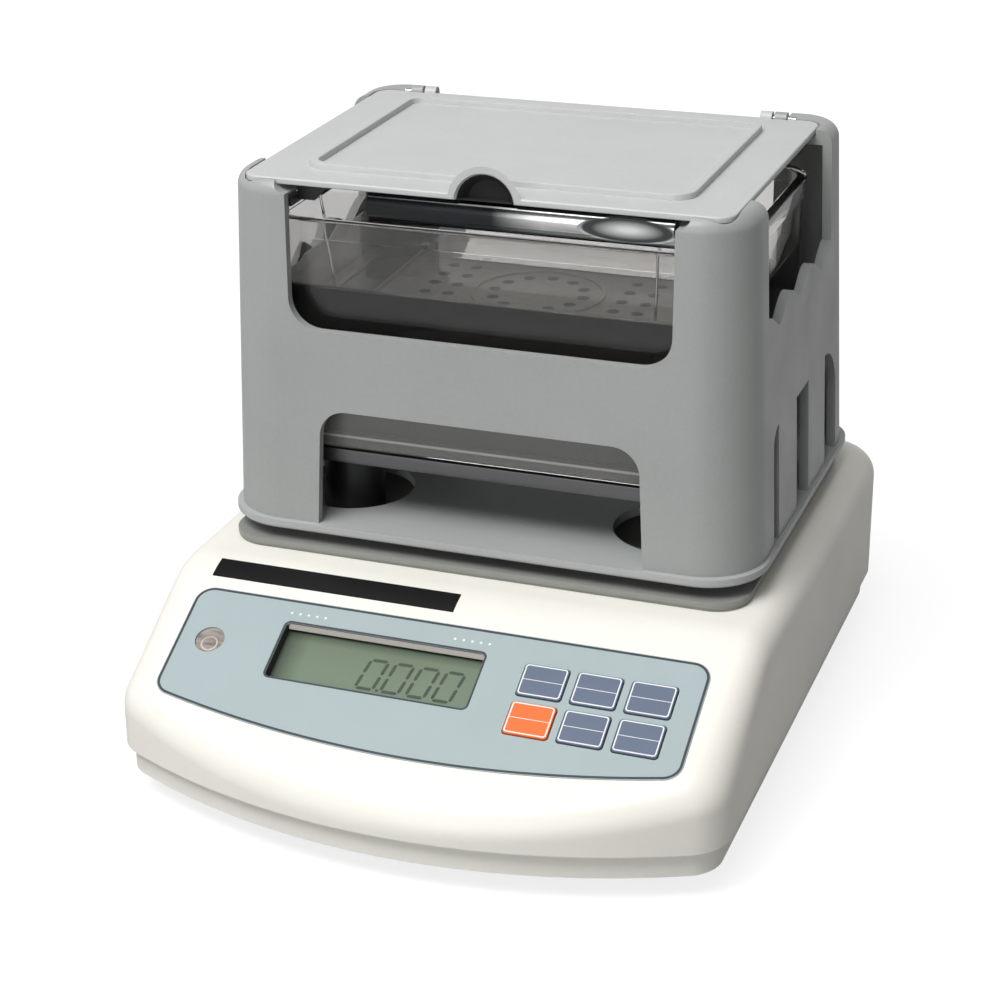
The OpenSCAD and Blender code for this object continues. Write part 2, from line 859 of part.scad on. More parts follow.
module key_switches() {
    color([0.2, 0.2, 0.22])
    on_slope()
        for (c = [-1:1], r = [-1, 1]) {
            key_place(c, r) {
                translate([-switch_w / 2, -switch_w / 2, board_top])
                    cube([switch_w, switch_w, switch_h]);
                translate([0, 0, board_top])
                    cylinder(d = plunger_d, h = plunger_top - board_top);
            }
        }
}

module main_board() {
    color([0.1, 0.35, 0.2])
    translate([39, frame_y, chassis_top + 4]) {
        difference() {
            translate([-18, -40, 0])
                cube([36, 80, 1.6]);
            for (x = [-13, 13], y = [-34, 34]) {
                translate([x, y, -cut])
                    cylinder(d = 3.2, h = 4);
            }
        }
        translate([-8, -12, 1.6])
            cube([16, 16, 2.4]);
        translate([-12, 14, 1.6])
            cube([9, 12, 7]);
        for (y = [-24, 16, 26]) {
            translate([8, y, 1.6])
                cylinder(d = 6.3, h = 9);
        }
        translate([-14, -31, 1.6])
            cube([8, 14, 6]);
    }
}

module load_cell() {
    color([0.8, 0.81, 0.83])
    difference() {
        translate([-cell_w / 2, cell_front, cell_z])
            cube([cell_w, cell_len, cell_h]);
        for (y = [-16, 16]) {
            translate([-cell_w / 2 - cut, frame_y + y, cell_z + cell_h / 2])
                rotate([0, 90, 0])
                    cylinder(d = cell_hole_d, h = cell_w + 2 * cut);
        }
        translate([-cell_w / 2 - cut, frame_y - 16, cell_z + cell_h / 2 - 2])
            cube([cell_w + 2 * cut, 32, 4]);
        for (y = [cell_rear - 7, cell_rear - 19]) {
            translate([0, y, cell_z - cut])
                cylinder(d = screw_d + 2 * turn_gap, h = 14 + cut);
        }
        for (y = [cell_front + 7, cell_front + 19]) {
            translate([0, y, cell_top - 12])
                cylinder(d = screw_d + 1.2, h = 12 + cut);
        }
    }
}

module cell_base_block() {
    color([0.6, 0.61, 0.63])
    difference() {
        translate([-cell_w / 2, cell_rear - block_len, chassis_top])
            cube([cell_w, block_len, block_h]);
        for (y = [cell_rear - 7, cell_rear - 19]) {
            translate([0, y, chassis_top - cut])
                cylinder(d = screw_d + 2 * turn_gap, h = block_h + 2 * cut);
        }
    }
}

module overload_stop() {
    color([0.75, 0.7, 0.5])
    translate([0, cell_front + 8, chassis_top]) {
        cylinder(d = 10, h = 2.5, $fn = 6);
        cylinder(d = 6, h = block_h - 2 * weigh_travel);
    }
}

module cell_screws() {
    color([0.5, 0.5, 0.52])
    for (y = [cell_rear - 7, cell_rear - 19]) {
        translate([0, y, plate_z])
            cylinder(d = screw_d, h = plate_t + block_h + 13);
    }
}

module tank_posts() {
    color([0.1, 0.1, 0.11])
    in_frame()
        for (x = [-1, 1], y = [-1, 1]) {
            translate([x * post_x, y * post_y, stage_top]) {
                cylinder(d = post_d, h = post_h - 1);
                translate([0, 0, post_h - 1])
                    cylinder(d1 = post_d, d2 = post_d - 2, h = 1);
            }
        }
}

module post_pads() {
    color([0.16, 0.16, 0.16])
    in_frame()
        for (x = [-1, 1], y = [-1, 1]) {
            translate([x * post_x, y * post_y, pads_z])
                cylinder(d = post_d - 4, h = post_pad_t);
        }
}

module tank_platform() {
    color([0.72, 0.72, 0.7])
    in_frame() {
        translate([0, 0, platform_z])
            rounded_block(2 * tank_half_x - 5, 2 * tank_half_y - 5, 1, tank_r - 4);
        translate([0, 0, platform_z + 1])
            rounded_block(2 * tank_half_x - 3, 2 * tank_half_y - 3, platform_t - 1, tank_r - 3);
    }
}

module dc_inlet() {
    color([0.12, 0.12, 0.13])
    translate([dc_x, recess_y, rear_z])
        rotate([90, 0, 0]) {
            difference() {
                union() {
                    translate([0, 0, -1.6])
                        cylinder(d = 12.5, h = 1.6);
                    cylinder(d = 10.2 - 2 * set_gap, h = 15);
                }
                translate([0, 0, -1.6 - cut])
                    cylinder(d = 6.4, h = 11.6 + cut);
            }
            translate([0, 0, 1])
                cylinder(d = 2, h = 10);
        }
}

module dee(w, h, r) {
    polygon([
        [-w / 2, h / 2 - r * 0.4], [-w / 2 + r * 0.4, h / 2], [w / 2 - r * 0.4, h / 2], [w / 2, h / 2 - r * 0.4],
        [w / 2 - 1.4, -h / 2 + r * 0.4], [w / 2 - 1.9, -h / 2], [-w / 2 + 1.9, -h / 2], [-w / 2 + 1.4, -h / 2 + r * 0.4]
    ]);
}

module serial_port() {
    color([0.6, 0.6, 0.62])
    translate([serial_x, recess_y, rear_z])
        rotate([90, 0, 0]) {
            translate([0, 0, -1])
                rounded_block(31, 12.6, 1, 1.5);
            difference() {
                translate([0, 0, -3.2])
                    linear_extrude(height = 2.2)
                        dee(17, 9.4, 2);
                for (i = [-2:2]) {
                    translate([i * 2.75, 1.4, -3.2 - cut])
                        cylinder(d = 1.4, h = 3);
                }
                for (i = [-1.5:1:1.5]) {
                    translate([i * 2.75, -1.4, -3.2 - cut])
                        cylinder(d = 1.4, h = 3);
                }
            }
            linear_extrude(height = 11)
                square([18, 10.8], center = true);
            for (x = [-12.5, 12.5]) {
                translate([x, 0, -3])
                    cylinder(d = 5.2, h = 2, $fn = 6);
            }
        }
}

module switch_housing() {
    color([0.09, 0.09, 0.1])
    translate([rocker_x, 0, rear_z])
        difference() {
            union() {
                translate([-rocker_w / 2 - rocker_rim, recess_y, -rocker_h / 2 - rocker_rim])
                    cube([rocker_w + 2 * rocker_rim, rocker_flange_t, rocker_h + 2 * rocker_rim]);
                translate([-rocker_w / 2 - 0.9, recess_y - 14, -rocker_h / 2 - 0.9])
                    cube([rocker_w + 1.8, 14, rocker_h + 1.8]);
                for (z = [-6, 0, 6]) {
                    translate([-2.4, recess_y - 22, z - 0.4])
                        cube([4.8, 9, 0.8]);
                }
            }
            translate([-rocker_w / 2, recess_y - 9, -rocker_h / 2])
                cube([rocker_w, 9 + rocker_flange_t + cut, rocker_h]);
            translate([-rocker_w / 2 - 0.7, rocker_pivot_y, 0])
                rotate([0, 90, 0])
                    cylinder(d = rocker_pin_d + 2 * turn_gap, h = rocker_w + 1.4);
        }
}

module power_rocker() {
    color([0.12, 0.12, 0.13])
    translate([rocker_x, rocker_pivot_y, rear_z])
        rotate([-rocker_swing / 2, 0, 0]) {
            translate([-rocker_w / 2 + 0.3, 0, 0])
                rotate([90, 0, 90])
                    linear_extrude(height = rocker_w - 0.6)
                        polygon([
                            [4, -rocker_h / 2 + 0.9], [2.7, -3], [2.5, 0], [2.7, 3], [4, rocker_h / 2 - 0.9],
                            [1, rocker_h / 2 - 1.4], [-2.5, 4], [-2.5, -4], [1, -rocker_h / 2 + 1.4]
                        ]);
            translate([-rocker_w / 2 - 0.5, 0, 0])
                rotate([0, 90, 0])
                    cylinder(d = rocker_pin_d, h = rocker_w + 1);
        }
}

module shell_screws() {
    color([0.55, 0.55, 0.57])
    for (p = shell_bosses) {
        translate([p[0], p[1], foot_h + 0.6])
            cylinder(d = 6.2, h = 1.8);
        translate([p[0], p[1], foot_h + 2.4])
            cylinder(d = 2.9, h = seam_z - foot_h + 6);
    }
}

// Cut that leaves the upper window open to the lid, in the plane of the front wall
module upper_window() {
    w = window_w;
    z0 = box_z + window_sill;
    translate([0, frame_d, 0])
        rotate([90, 0, 0])
            linear_extrude(height = 2 * frame_d) {
                translate([-w / 2, z0 + window_r])
                    square([w, frame_h]);
                translate([-w / 2 + window_r, z0])
                    square([w - 2 * window_r, frame_h]);
                for (x = [-1, 1]) {
                    translate([x * (w / 2 - window_r), z0 + window_r])
                        circle(r = window_r);
                }
                for (x = [-1, 1]) {
                    translate([x * w / 2, box_top + 0.01])
                        circle(r = cap_round - 0.8);
                }
            }
}

module lower_window() {
    w = low_window_w;
    t = w / 2 - low_window_in;
    translate([0, frame_d, 0])
        rotate([90, 0, 0])
            linear_extrude(height = 2 * frame_d) {
                polygon([
                    [-w / 2, box_z - cut], [w / 2, box_z - cut],
                    [t, box_z + low_window_h - low_window_r], [-t, box_z + low_window_h - low_window_r]
                ]);
                translate([-t + low_window_r, box_z])
                    square([2 * (t - low_window_r), low_window_h]);
                for (x = [-1, 1]) {
                    translate([x * (t - low_window_r), box_z + low_window_h - low_window_r])
                        circle(r = low_window_r);
                }
            }
}

// Round crests and narrow troughs
function wave_edge(y) = wave_z - wave_amp + 2 * wave_amp * pow(abs(sin(180 * y / wave_pitch)), 1.4);

module side_cut() {
    h = side_cut_d / 2;
    translate([-frame_w, side_cut_y, box_z])
        rotate([90, 0, 90])
            linear_extrude(height = 2 * frame_w)
                polygon(concat(
                    [for (i = [0:72]) let (y = -h + 2 * h * i / 72) [y, wave_edge(y)]],
                    [[h, frame_h + cut], [-h, frame_h + cut]]
                ));
}

module side_slots() {
    translate([-frame_w, slots_y, box_z])
        rotate([90, 0, 90])
            linear_extrude(height = 2 * frame_w) {
                translate([-slot_w / 2, -cut])
                    square([slot_w, slot_h + cut]);
                for (s = [[1, slot_front_w], [0, slot_rear_w]]) {
                    mirror([s[0], 0])
                        translate([slot_from, 0]) {
                            translate([0, -cut])
                                square([s[1], slot_h - s[1] + cut]);
                            intersection() {
                                translate([0, slot_h - s[1]])
                                    circle(r = s[1]);
                                translate([0, slot_h - s[1]])
                                    square([s[1], s[1]]);
                            }
                        }
                }
            }
}

// Discs over the columns' tops, moved in by d
module top_discs(d, z) {
    column_discs(
        frame_w / 2 - frame_draft_x - d,
        frame_front - frame_draft_y - d,
        frame_front - frame_draft_y + rear_out_top - d,
        frame_top_r - d,
        rear_column_r - d,
        z
    );
}

module frame_outer() {
    hull() {
        column_discs(frame_w / 2, frame_front, frame_rear, frame_r, rear_column_r, box_z);
        for (i = [0:4]) {
            t = i * 18;
            top_discs(cap_round * (1 - cos(t)), box_top - cap_round + cap_round * sin(t) - 0.02);
        }
        top_discs(cap_round, box_top - 0.02);
    }
}

module frame_inner() {
    t = frame_wall;
    hull() {
        column_discs(frame_w / 2 - t, frame_front - t, frame_rear - t, frame_r - t, rear_column_r - t, box_z - cut);
        top_discs(t, box_top - cap_t);
    }
}

module weighing_frame() {
    color([0.6, 0.61, 0.62])
    in_frame()
        difference() {
            union() {
                difference() {
                    frame_outer();
                    frame_inner();
                    upper_window();
                    lower_window();
                    side_cut();
                    side_slots();
                    translate([0, 0, lid_recess_z])
                        rounded_block(lid_w + 2 * lid_gap, lid_d + 2 * lid_gap, lid_t + cut, lid_r + lid_gap);
                }
                for (x = [-1, 1]) {
                    translate([x * (hinge_x + 2.3) - 2, hinge_y, hinge_z])
                        rotate([0, 90, 0])
                            cylinder(r = knuckle_r, h = 4);
                }
                for (p = frame_bosses) {
                    translate([p[0], p[1], box_z])
                        cylinder(d = frame_boss_d, h = frame_boss_h);
                }
            }
            for (p = frame_bosses) {
                translate([p[0], p[1], box_z - cut])
                    cylinder(d = 3, h = frame_boss_h);
            }
            for (x = [-1, 1]) {
                translate([x * (hinge_x + 3) - 5, hinge_y, hinge_z])
                    rotate([0, 90, 0])
                        cylinder(d = pin_d + 0.02, h = 10);
            }
        }
}

module frame_base() {
    color([0.56, 0.57, 0.58])
    in_frame()
        difference() {
            union() {
                translate([0, 0, flange_z])
                    uneven_block(
                        flange_w - 1.6, flange_front - 0.8, flange_rear - 0.8, 0.8,
                        flange_r - 0.8, flange_rear_r - 0.8
                    );
                translate([0, 0, flange_z + 0.8])
                    uneven_block(flange_w, flange_front, flange_rear, flange_t - 0.8, flange_r, flange_rear_r);
            }
            for (x = [-1, 1], y = [-1, 1]) {
                translate([x * post_x, y * post_y, flange_z - cut])
                    cylinder(d = post_hole_d, h = flange_t + 2 * cut);
            }
            for (p = frame_bosses) {
                translate([p[0], p[1], flange_z - cut])
                    cylinder(d = 3.2, h = flange_t + 2 * cut);
                translate([p[0], p[1], flange_z - cut])
                    cylinder(d = 6.4, h = cut + 1.8);
            }
            translate([0, 0, flange_z - cut])
                cylinder(d = spigot_stub_d + 2 * turn_gap, h = flange_t + 2 * cut);
        }
}

module spigot() {
    color([0.75, 0.75, 0.77])
    in_frame() {
        translate([0, 0, spigot_z])
            cylinder(d = spigot_d + 8, h = 3);
        translate([0, 0, spigot_z])
            cylinder(d = spigot_d, h = flange_z - spigot_z);
        translate([0, 0, flange_z])
            cylinder(d = spigot_stub_d, h = flange_t);
    }
}

module cell_top_bracket() {
    color([0.7, 0.7, 0.72])
    difference() {
        union() {
            translate([-bracket_half, cell_front, bracket_z])
                cube([2 * bracket_half, bracket_rear - cell_front, bracket_t]);
            translate([-cell_w / 2, cell_front, bracket_z - bracket_foot_h])
                cube([cell_w, 25, bracket_foot_h]);
        }
        for (y = [cell_front + 7, cell_front + 19]) {
            translate([0, y, bracket_z - bracket_foot_h - cut])
                cylinder(d = screw_d + 2 * turn_gap, h = bracket_foot_h + bracket_t + 2 * cut);
        }
    }
}

module bracket_screws() {
    color([0.4, 0.4, 0.42])
    for (y = [cell_front + 7, cell_front + 19]) {
        translate([0, y, cell_top - 10])
            cylinder(d = screw_d, h = 10 + rest_gap + bracket_foot_h + bracket_t);
        translate([0, y, bracket_z + bracket_t])
            cylinder(d = screw_head_d, h = screw_head_h);
    }
}

module frame_screws() {
    color([0.6, 0.6, 0.62])
    in_frame()
        for (p = frame_bosses) {
            translate([p[0], p[1], flange_z + 0.2])
                cylinder(d = 6, h = 1.6);
            translate([p[0], p[1], flange_z + 1.8])
                cylinder(d = 2.9, h = 10);
        }
}

module hinge_pins() {
    color([0.7, 0.7, 0.72])
    in_frame()
        for (x = [-1, 1]) {
            translate([x * (hinge_x + 1.6) - 5.6, hinge_y, hinge_z])
                rotate([0, 90, 0])
                    cylinder(d = pin_d, h = 11.2);
        }
}

// Brackets under the tongues, against the inside of the front and rear walls
module hanger_ledges() {
    k = (ledge_z - box_z + cut) / (frame_h - cap_t + cut);
    front = frame_front - frame_wall - frame_draft_y * k;
    rear = frame_rear - frame_wall - (frame_draft_y + rear_out - rear_out_top) * k;
    color([0.6, 0.61, 0.62])
    in_frame()
        intersection() {
            for (x = [-1, 1]) {
                translate([x * ledge_x - ledge_w / 2, -front, ledge_z - ledge_h])
                    cube([ledge_w, front - ledge_in, ledge_h]);
                translate([x * ledge_x - ledge_w / 2, ledge_in, ledge_z - ledge_h])
                    cube([ledge_w, rear - ledge_in, ledge_h]);
            }
            frame_inner();
        }
}

module hump(r, wall_in) {
    slope = (hump_r - (box_top - hump_cz())) / hump_len;
    translate([hump_x, -lid_d / 2 - wall_in, hump_cz()])
        rotate([-90, 0, 0])
            cylinder(r1 = r + slope * wall_in, r2 = r - slope * (hump_len - 0.01), h = hump_len + wall_in, $fn = 96);
}

function hump_cz() = lid_z - 0.8;

module lid() {
    inner_r = hump_r - hump_wall;
    k_x = hinge_x - 0.3 - knuckle_len / 2;
    color([0.66, 0.67, 0.68])
    in_frame()
        difference() {
            union() {
                translate([0, 0, lid_z])
                    rounded_block(lid_w, lid_d, lid_t, lid_r);
                translate([0, 0, box_top])
                    difference() {
                        rounded_block(rim_w, rim_d, rim_h, 7);
                        translate([0, 0, -cut])
                            rounded_block(rim_w - 2 * rim_band, rim_d - 2 * rim_band, rim_h + 2 * cut, 7 - rim_band);
                    }
                intersection() {
                    hump(hump_r, 0);
                    translate([hump_x - hump_r, -lid_d / 2, lid_z + 0.5])
                        cube([2 * hump_r, hump_len, 2 * hump_r]);
                }
                for (x = [-1, 1]) {
                    translate([x * k_x - knuckle_len / 2, hinge_y, hinge_z])
                        rotate([0, 90, 0])
                            cylinder(r = knuckle_r, h = knuckle_len);
                }
            }
            hump(inner_r, cut);
            for (x = [-1, 1]) {
                translate([x * k_x - knuckle_len / 2 - cut, hinge_y, hinge_z])
                    rotate([0, 90, 0])
                        cylinder(d = pin_d + 2 * turn_gap, h = knuckle_len + 2 * cut);
                translate([x * (hinge_x + 2.1) - 2.7, hinge_y, hinge_z])
                    rotate([0, 90, 0])
                        cylinder(r = knuckle_r + 0.4, h = 5.4);
            }
        }
}

// Bar with a bulging face and a shallow round dimple
module lid_bar() {
    round_r = (pow(bar_h / 2, 2) + pow(bar_bulge, 2)) / (2 * bar_bulge);
    dimple_r = (pow(dimple_len / 2, 2) + pow(dimple_t, 2)) / (2 * dimple_t);
    face = -lid_d / 2 + 0.6;
    middle = lid_z - bar_h / 2;
    color([0.8, 0.81, 0.83])
    in_frame()
        difference() {
            intersection() {
                translate([bar_from, face, lid_z - bar_h])
                    cube([bar_to - bar_from, bar_d, bar_h]);
                translate([bar_from - cut, face + round_r, middle])
                    rotate([0, 90, 0])
                        cylinder(r = round_r, h = bar_to - bar_from + 2 * cut, $fn = 96);
            }
            translate([dimple_x, face + dimple_t - dimple_r, middle])
                sphere(r = dimple_r, $fn = 128);
        }
}

module tank() {
    b = tank_draft;
    color([0.75, 0.82, 0.85, 0.35])
    in_frame()
        difference() {
            union() {
                hull() {
                    corner_discs(tank_half_x - b - 2, tank_half_y - b - 2, tank_r - 5, tank_z);
                    corner_discs(tank_half_x - b - 0.6, tank_half_y - b - 0.6, tank_r - 3.6, tank_z + 0.7);
                    corner_discs(tank_half_x - b, tank_half_y - b, tank_r - 3, tank_z + 2.2);
                    corner_discs(tank_half_x, tank_half_y, tank_r - lip_out, tank_top - 0.02);
                }
                translate([0, 0, tank_top - lip_h])
                    rounded_block(tank_w, tank_d, lip_h, tank_r);
            }
            hull() {
                corner_discs(tank_half_x - b - tank_wall - 1, tank_half_y - b - tank_wall - 1,
                    tank_r - 3 - tank_wall, tank_z + tank_floor);
                corner_discs(tank_half_x - b - tank_wall, tank_half_y - b - tank_wall,
                    tank_r - 2 - tank_wall, tank_z + tank_floor + 1.2);
                corner_discs(tank_half_x - tank_wall, tank_half_y - tank_wall, tank_r - tank_wall, tank_top + cut);
            }
        }
}

function wire_top(x, y) = [x * wire_top_x, y * wire_top_y, wire_top_z];
function wire_foot(x, y) = [
    x * (tray_w / 2 - wire_in),
    y * (tray_d / 2 - wire_in),
    tray_z + tray_t + tray_rim + wire_d / 8
];

module hanger_rails() {
    inner = rail_x - rail_w;
    top = rail_z + rail_h;
    color([0.12, 0.12, 0.13])
    in_frame()
        for (m = [0, 1]) {
            mirror([m, 0, 0]) {
                difference() {
                    translate([0, rail_rear, 0])
                        rotate([90, 0, 0])
                            linear_extrude(height = rail_rear + rail_front)
                                polygon([
                                    [inner, rail_z + rail_chamfer], [inner, top - 0.6], [inner + 0.6, top],
                                    [rail_x, top], [rail_x, rail_z], [inner + rail_chamfer, rail_z]
                                ]);
                    for (i = [-1:1]) {
                        translate([inner + 3, i * 32 - 13, rail_z + 2])
                            cube([rail_w - 5, 26, rail_h]);
                    }
                    for (y = [-1, 1]) {
                        rod(wire_top(1, y), wire_foot(1, y), wire_d + 2 * turn_gap);
                    }
                }
                for (y = [-1, 1]) {
                    translate([rail_x - 0.01, y * (rail_end - 4) - 4, rail_tongue_z])
                        cube([rail_tongue_out, 8, rail_tongue_h]);
                }
            }
        }
}

module hanger_wires() {
    color([0.7, 0.7, 0.7])
    in_frame()
        for (x = [-1, 1], y = [-1, 1]) {
            rod(wire_top(x, y), wire_foot(x, y), wire_d);
        }
}

module basket_tray() {
    color([0.78, 0.79, 0.8])
    in_frame()
        translate([0, 0, tray_z])
            difference() {
                rounded_block(tray_w, tray_d, tray_t + tray_rim, 8);
                translate([0, 0, tray_t])
                    difference() {
                        rounded_block(tray_w - 2 * tray_rim_t, tray_d - 2 * tray_rim_t, tray_rim + cut, 8 - tray_rim_t);
                        cylinder(r = 22, h = 1.6);
                        for (x = [-1, 1], y = [-1, 1]) {
                            translate([x * (tray_w / 2 - wire_in - 1), y * (tray_d / 2 - wire_in - 1), 0])
                                cylinder(d = 5, h = tray_rim);
                        }
                    }
                translate([0, 0, tray_t])
                    cylinder(r = 20.5, h = 3);
                for (i = [0:11]) {
                    rotate([0, 0, i * 30])
                        translate([15, 0, -cut])
                            cylinder(d = 4, h = 8);
                }
                for (x = [-36, -28, 28, 36], y = [-27:9:27]) {
                    translate([x, y, -cut])
                        cylinder(d = 4, h = tray_t + 2 * cut);
                }
            }
}

module key_cap(c, r) {
    on_slope()
        key_place(c, r) {
            translate([0, 0, key_flange_z])
                rounded_block(key_w + 1.2, key_l + 1.2, 1, 1.2);
            translate([0, 0, key_flange_z])
                rounded_block(key_w - 2 * slide_gap, key_l - 2 * slide_gap,
                    overlay_t - overlay_pocket + key_proud - 0.3 - key_flange_z, 1.1);
            translate([0, 0, overlay_t - overlay_pocket + key_proud - 0.31])
                rounded_block(key_w - 2 * slide_gap - 0.6, key_l - 2 * slide_gap - 0.6, 0.31, 0.8);
        }
}

module key_rear_left() {
    color([0.42, 0.47, 0.55])
        key_cap(-1, -1);
}

module key_rear_middle() {
    color([0.42, 0.47, 0.55])
        key_cap(0, -1);
}

module key_rear_right() {
    color([0.42, 0.47, 0.55])
        key_cap(1, -1);
}

module key_front_left() {
    color([1, 0.5, 0.25])
        key_cap(-1, 1);
}

module key_front_middle() {
    color([0.42, 0.47, 0.55])
        key_cap(0, 1);
}

module key_front_right() {
    color([0.42, 0.47, 0.55])
        key_cap(1, 1);
}

// Scalloped thumb wheel with its stud
module foot_wheel(i) {
    lobes = 24;
    color([0.1, 0.1, 0.1])
    translate([feet[i][0], feet[i][1], foot_pad_t]) {
        linear_extrude(height = foot_h - foot_pad_t - 1.2)
            polygon([
                for (k = [0:lobes * 4 - 1])
                    let (a = 360 * k / (lobes * 4), r = foot_d / 2 - 0.4 + 0.4 * cos(a * lobes))
                        [r * cos(a), r * sin(a)]
            ]);
        translate([0, 0, foot_h - foot_pad_t - 1.2])
            cylinder(d = foot_boss_d - 1, h = 0.9);
        translate([0, 0, foot_h - foot_pad_t - 1.2])
            cylinder(d = stud_d, h = foot_boss_top - foot_h);
    }
}

module foot_pad(i) {
    color([0.2, 0.2, 0.2])
    translate([feet[i][0], feet[i][1], 0]) {
        cylinder(d1 = foot_d - 6, d2 = foot_d - 4, h = 0.8);
        translate([0, 0, 0.8])
            cylinder(d = foot_d - 4, h = foot_pad_t - 0.8);
    }
}

module foot_wheel_fl() { foot_wheel(0); }
module foot_wheel_fr() { foot_wheel(1); }
module foot_wheel_rl() { foot_wheel(2); }
module foot_wheel_rr() { foot_wheel(3); }
module foot_pad_fl() { foot_pad(0); }
module foot_pad_fr() { foot_pad(1); }
module foot_pad_rl() { foot_pad(2); }
module foot_pad_rr() { foot_pad(3); }

upper_shell();
lower_shell();
chassis_plate();
stage_plate();
control_overlay();
label_strip();
lcd_bezel();
lcd_module();
level_vial();
level_holder();
display_board();
key_switches();
main_board();
load_cell();
cell_base_block();
overload_stop();
tank_posts();
post_pads();
tank_platform();
dc_inlet();
serial_port();
switch_housing();
shell_screws();
cell_screws();
weighing_frame();
frame_base();
spigot();
cell_top_bracket();
frame_screws();
bracket_screws();
hinge_pins();
hanger_ledges();
lid();
lid_bar();
tank();
hanger_rails();
hanger_wires();
basket_tray();
key_rear_left();
key_rear_middle();
key_rear_right();
key_front_left();
key_front_middle();
key_front_right();
power_rocker();
foot_wheel_fl();
foot_wheel_fr();
foot_wheel_rl();
foot_wheel_rr();
foot_pad_fl();
foot_pad_fr();
foot_pad_rl();
foot_pad_rr();
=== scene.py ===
"""Looks of a bench density tester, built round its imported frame.

Sizes are in millimetres while a piece is being shaped and in metres once it is placed.
"""

import logging
import math
from dataclasses import dataclass
from enum import Enum
from typing import Callable, Iterable, Sequence

import bmesh
import bpy
from mathutils import Matrix, Vector


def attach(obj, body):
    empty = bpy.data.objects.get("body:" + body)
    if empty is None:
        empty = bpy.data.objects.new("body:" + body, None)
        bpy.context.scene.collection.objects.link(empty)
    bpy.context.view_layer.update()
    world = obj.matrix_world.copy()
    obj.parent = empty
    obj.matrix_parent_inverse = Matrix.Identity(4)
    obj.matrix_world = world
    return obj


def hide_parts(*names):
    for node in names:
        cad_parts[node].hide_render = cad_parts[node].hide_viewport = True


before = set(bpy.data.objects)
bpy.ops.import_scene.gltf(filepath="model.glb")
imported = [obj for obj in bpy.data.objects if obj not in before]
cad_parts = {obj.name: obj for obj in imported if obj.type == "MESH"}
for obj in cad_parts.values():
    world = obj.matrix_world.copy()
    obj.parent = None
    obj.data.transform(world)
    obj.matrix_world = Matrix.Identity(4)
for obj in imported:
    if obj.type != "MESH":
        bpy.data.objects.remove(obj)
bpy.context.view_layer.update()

LOG = logging.getLogger("density_tester")
MM = 0.001

Point = tuple[float, float]
Point3 = tuple[float, float, float]
Colour = tuple[float, float, float]
Socket = bpy.types.NodeSocket


def srgb(red: int, green: int, blue: int) -> Colour:
    """Turn a colour from 0 to 255 into linear light.

    Args:
        red: Red channel.
        green: Green channel.
        blue: Blue channel.

    Returns:
        The linear colour.
    """
    def channel(value: int) -> float:
        """Give one channel in linear light."""
        v = value / 255
        return v / 12.92 if v <= 0.04045 else ((v + 0.055) / 1.055) ** 2.4
    return channel(red), channel(green), channel(blue)


def arc(cx: float, cy: float, r: float, start: float, end: float, steps: int) -> list[Point]:
    """Give the points of an arc about a middle, both ends included, with angles in degrees."""
    angles = (math.radians(start + (end - start) * i / steps) for i in range(steps + 1))
    return [(cx + r * math.cos(a), cy + r * math.sin(a)) for a in angles]


def quarter(i: int, steps: int) -> Point:
    """Give how far in and how far from the top a quarter round is, as shares of its radius."""
    a = math.pi / 2 * i / steps
    return 1 - math.cos(a), 1 - math.sin(a)


def rounded(w: float, d: float, r: float, steps: int = 14,
            cx: float = 0, cy: float = 0) -> list[Point]:
    """Give the outline of a rectangle with round corners, anticlockwise.

    Args:
        w: Width.
        d: Depth.
        r: Corner radius.
        steps: Stretches in each corner.
        cx: Centre, sideways.
        cy: Centre, lengthways.

    Returns:
        The outline.
    """
    x, y = w / 2 - r, d / 2 - r
    corners = ((x, y, 0), (-x, y, 90), (-x, -y, 180), (x, -y, 270))
    return [p for px, py, a in corners for p in arc(cx + px, cy + py, r, a, a + 90, steps)]


def uneven(half: float, front: float, rear: float, front_r: float, rear_r: float,
           steps: int) -> list[Point]:
    """Give an outline that reaches unequally far forward and back, anticlockwise.

    Args:
        half: Half of the width.
        front: Reach forward.
        rear: Reach back.
        front_r: Radius of the front corners.
        rear_r: Radius of the rear corners.
        steps: Stretches in each corner.

    Returns:
        The outline.
    """
    corners = ((half - rear_r, rear - rear_r, rear_r, 0),
               (rear_r - half, rear - rear_r, rear_r, 90),
               (front_r - half, front_r - front, front_r, 180),
               (half - front_r, front_r - front, front_r, 270))
    return [p for x, y, r, a in corners for p in arc(x, y, r, a, a + 90, steps)]


def at_height(outline: Iterable[Point], z: float) -> list[Point3]:
    """Lift an outline to a height."""
    return [(x, y, z) for x, y in outline]


def slerp(a: Vector, b: Vector, t: float) -> Vector:
    """Turn from one unit vector to another by a share of their angle."""
    angle = a.angle(b)
    return (a * math.sin((1 - t) * angle) + b * math.sin(t * angle)) / math.sin(angle)


class Rule(Enum):
    """How one body changes another."""

    ADD = "UNION"
    CUT = "DIFFERENCE"
    KEEP = "INTERSECT"


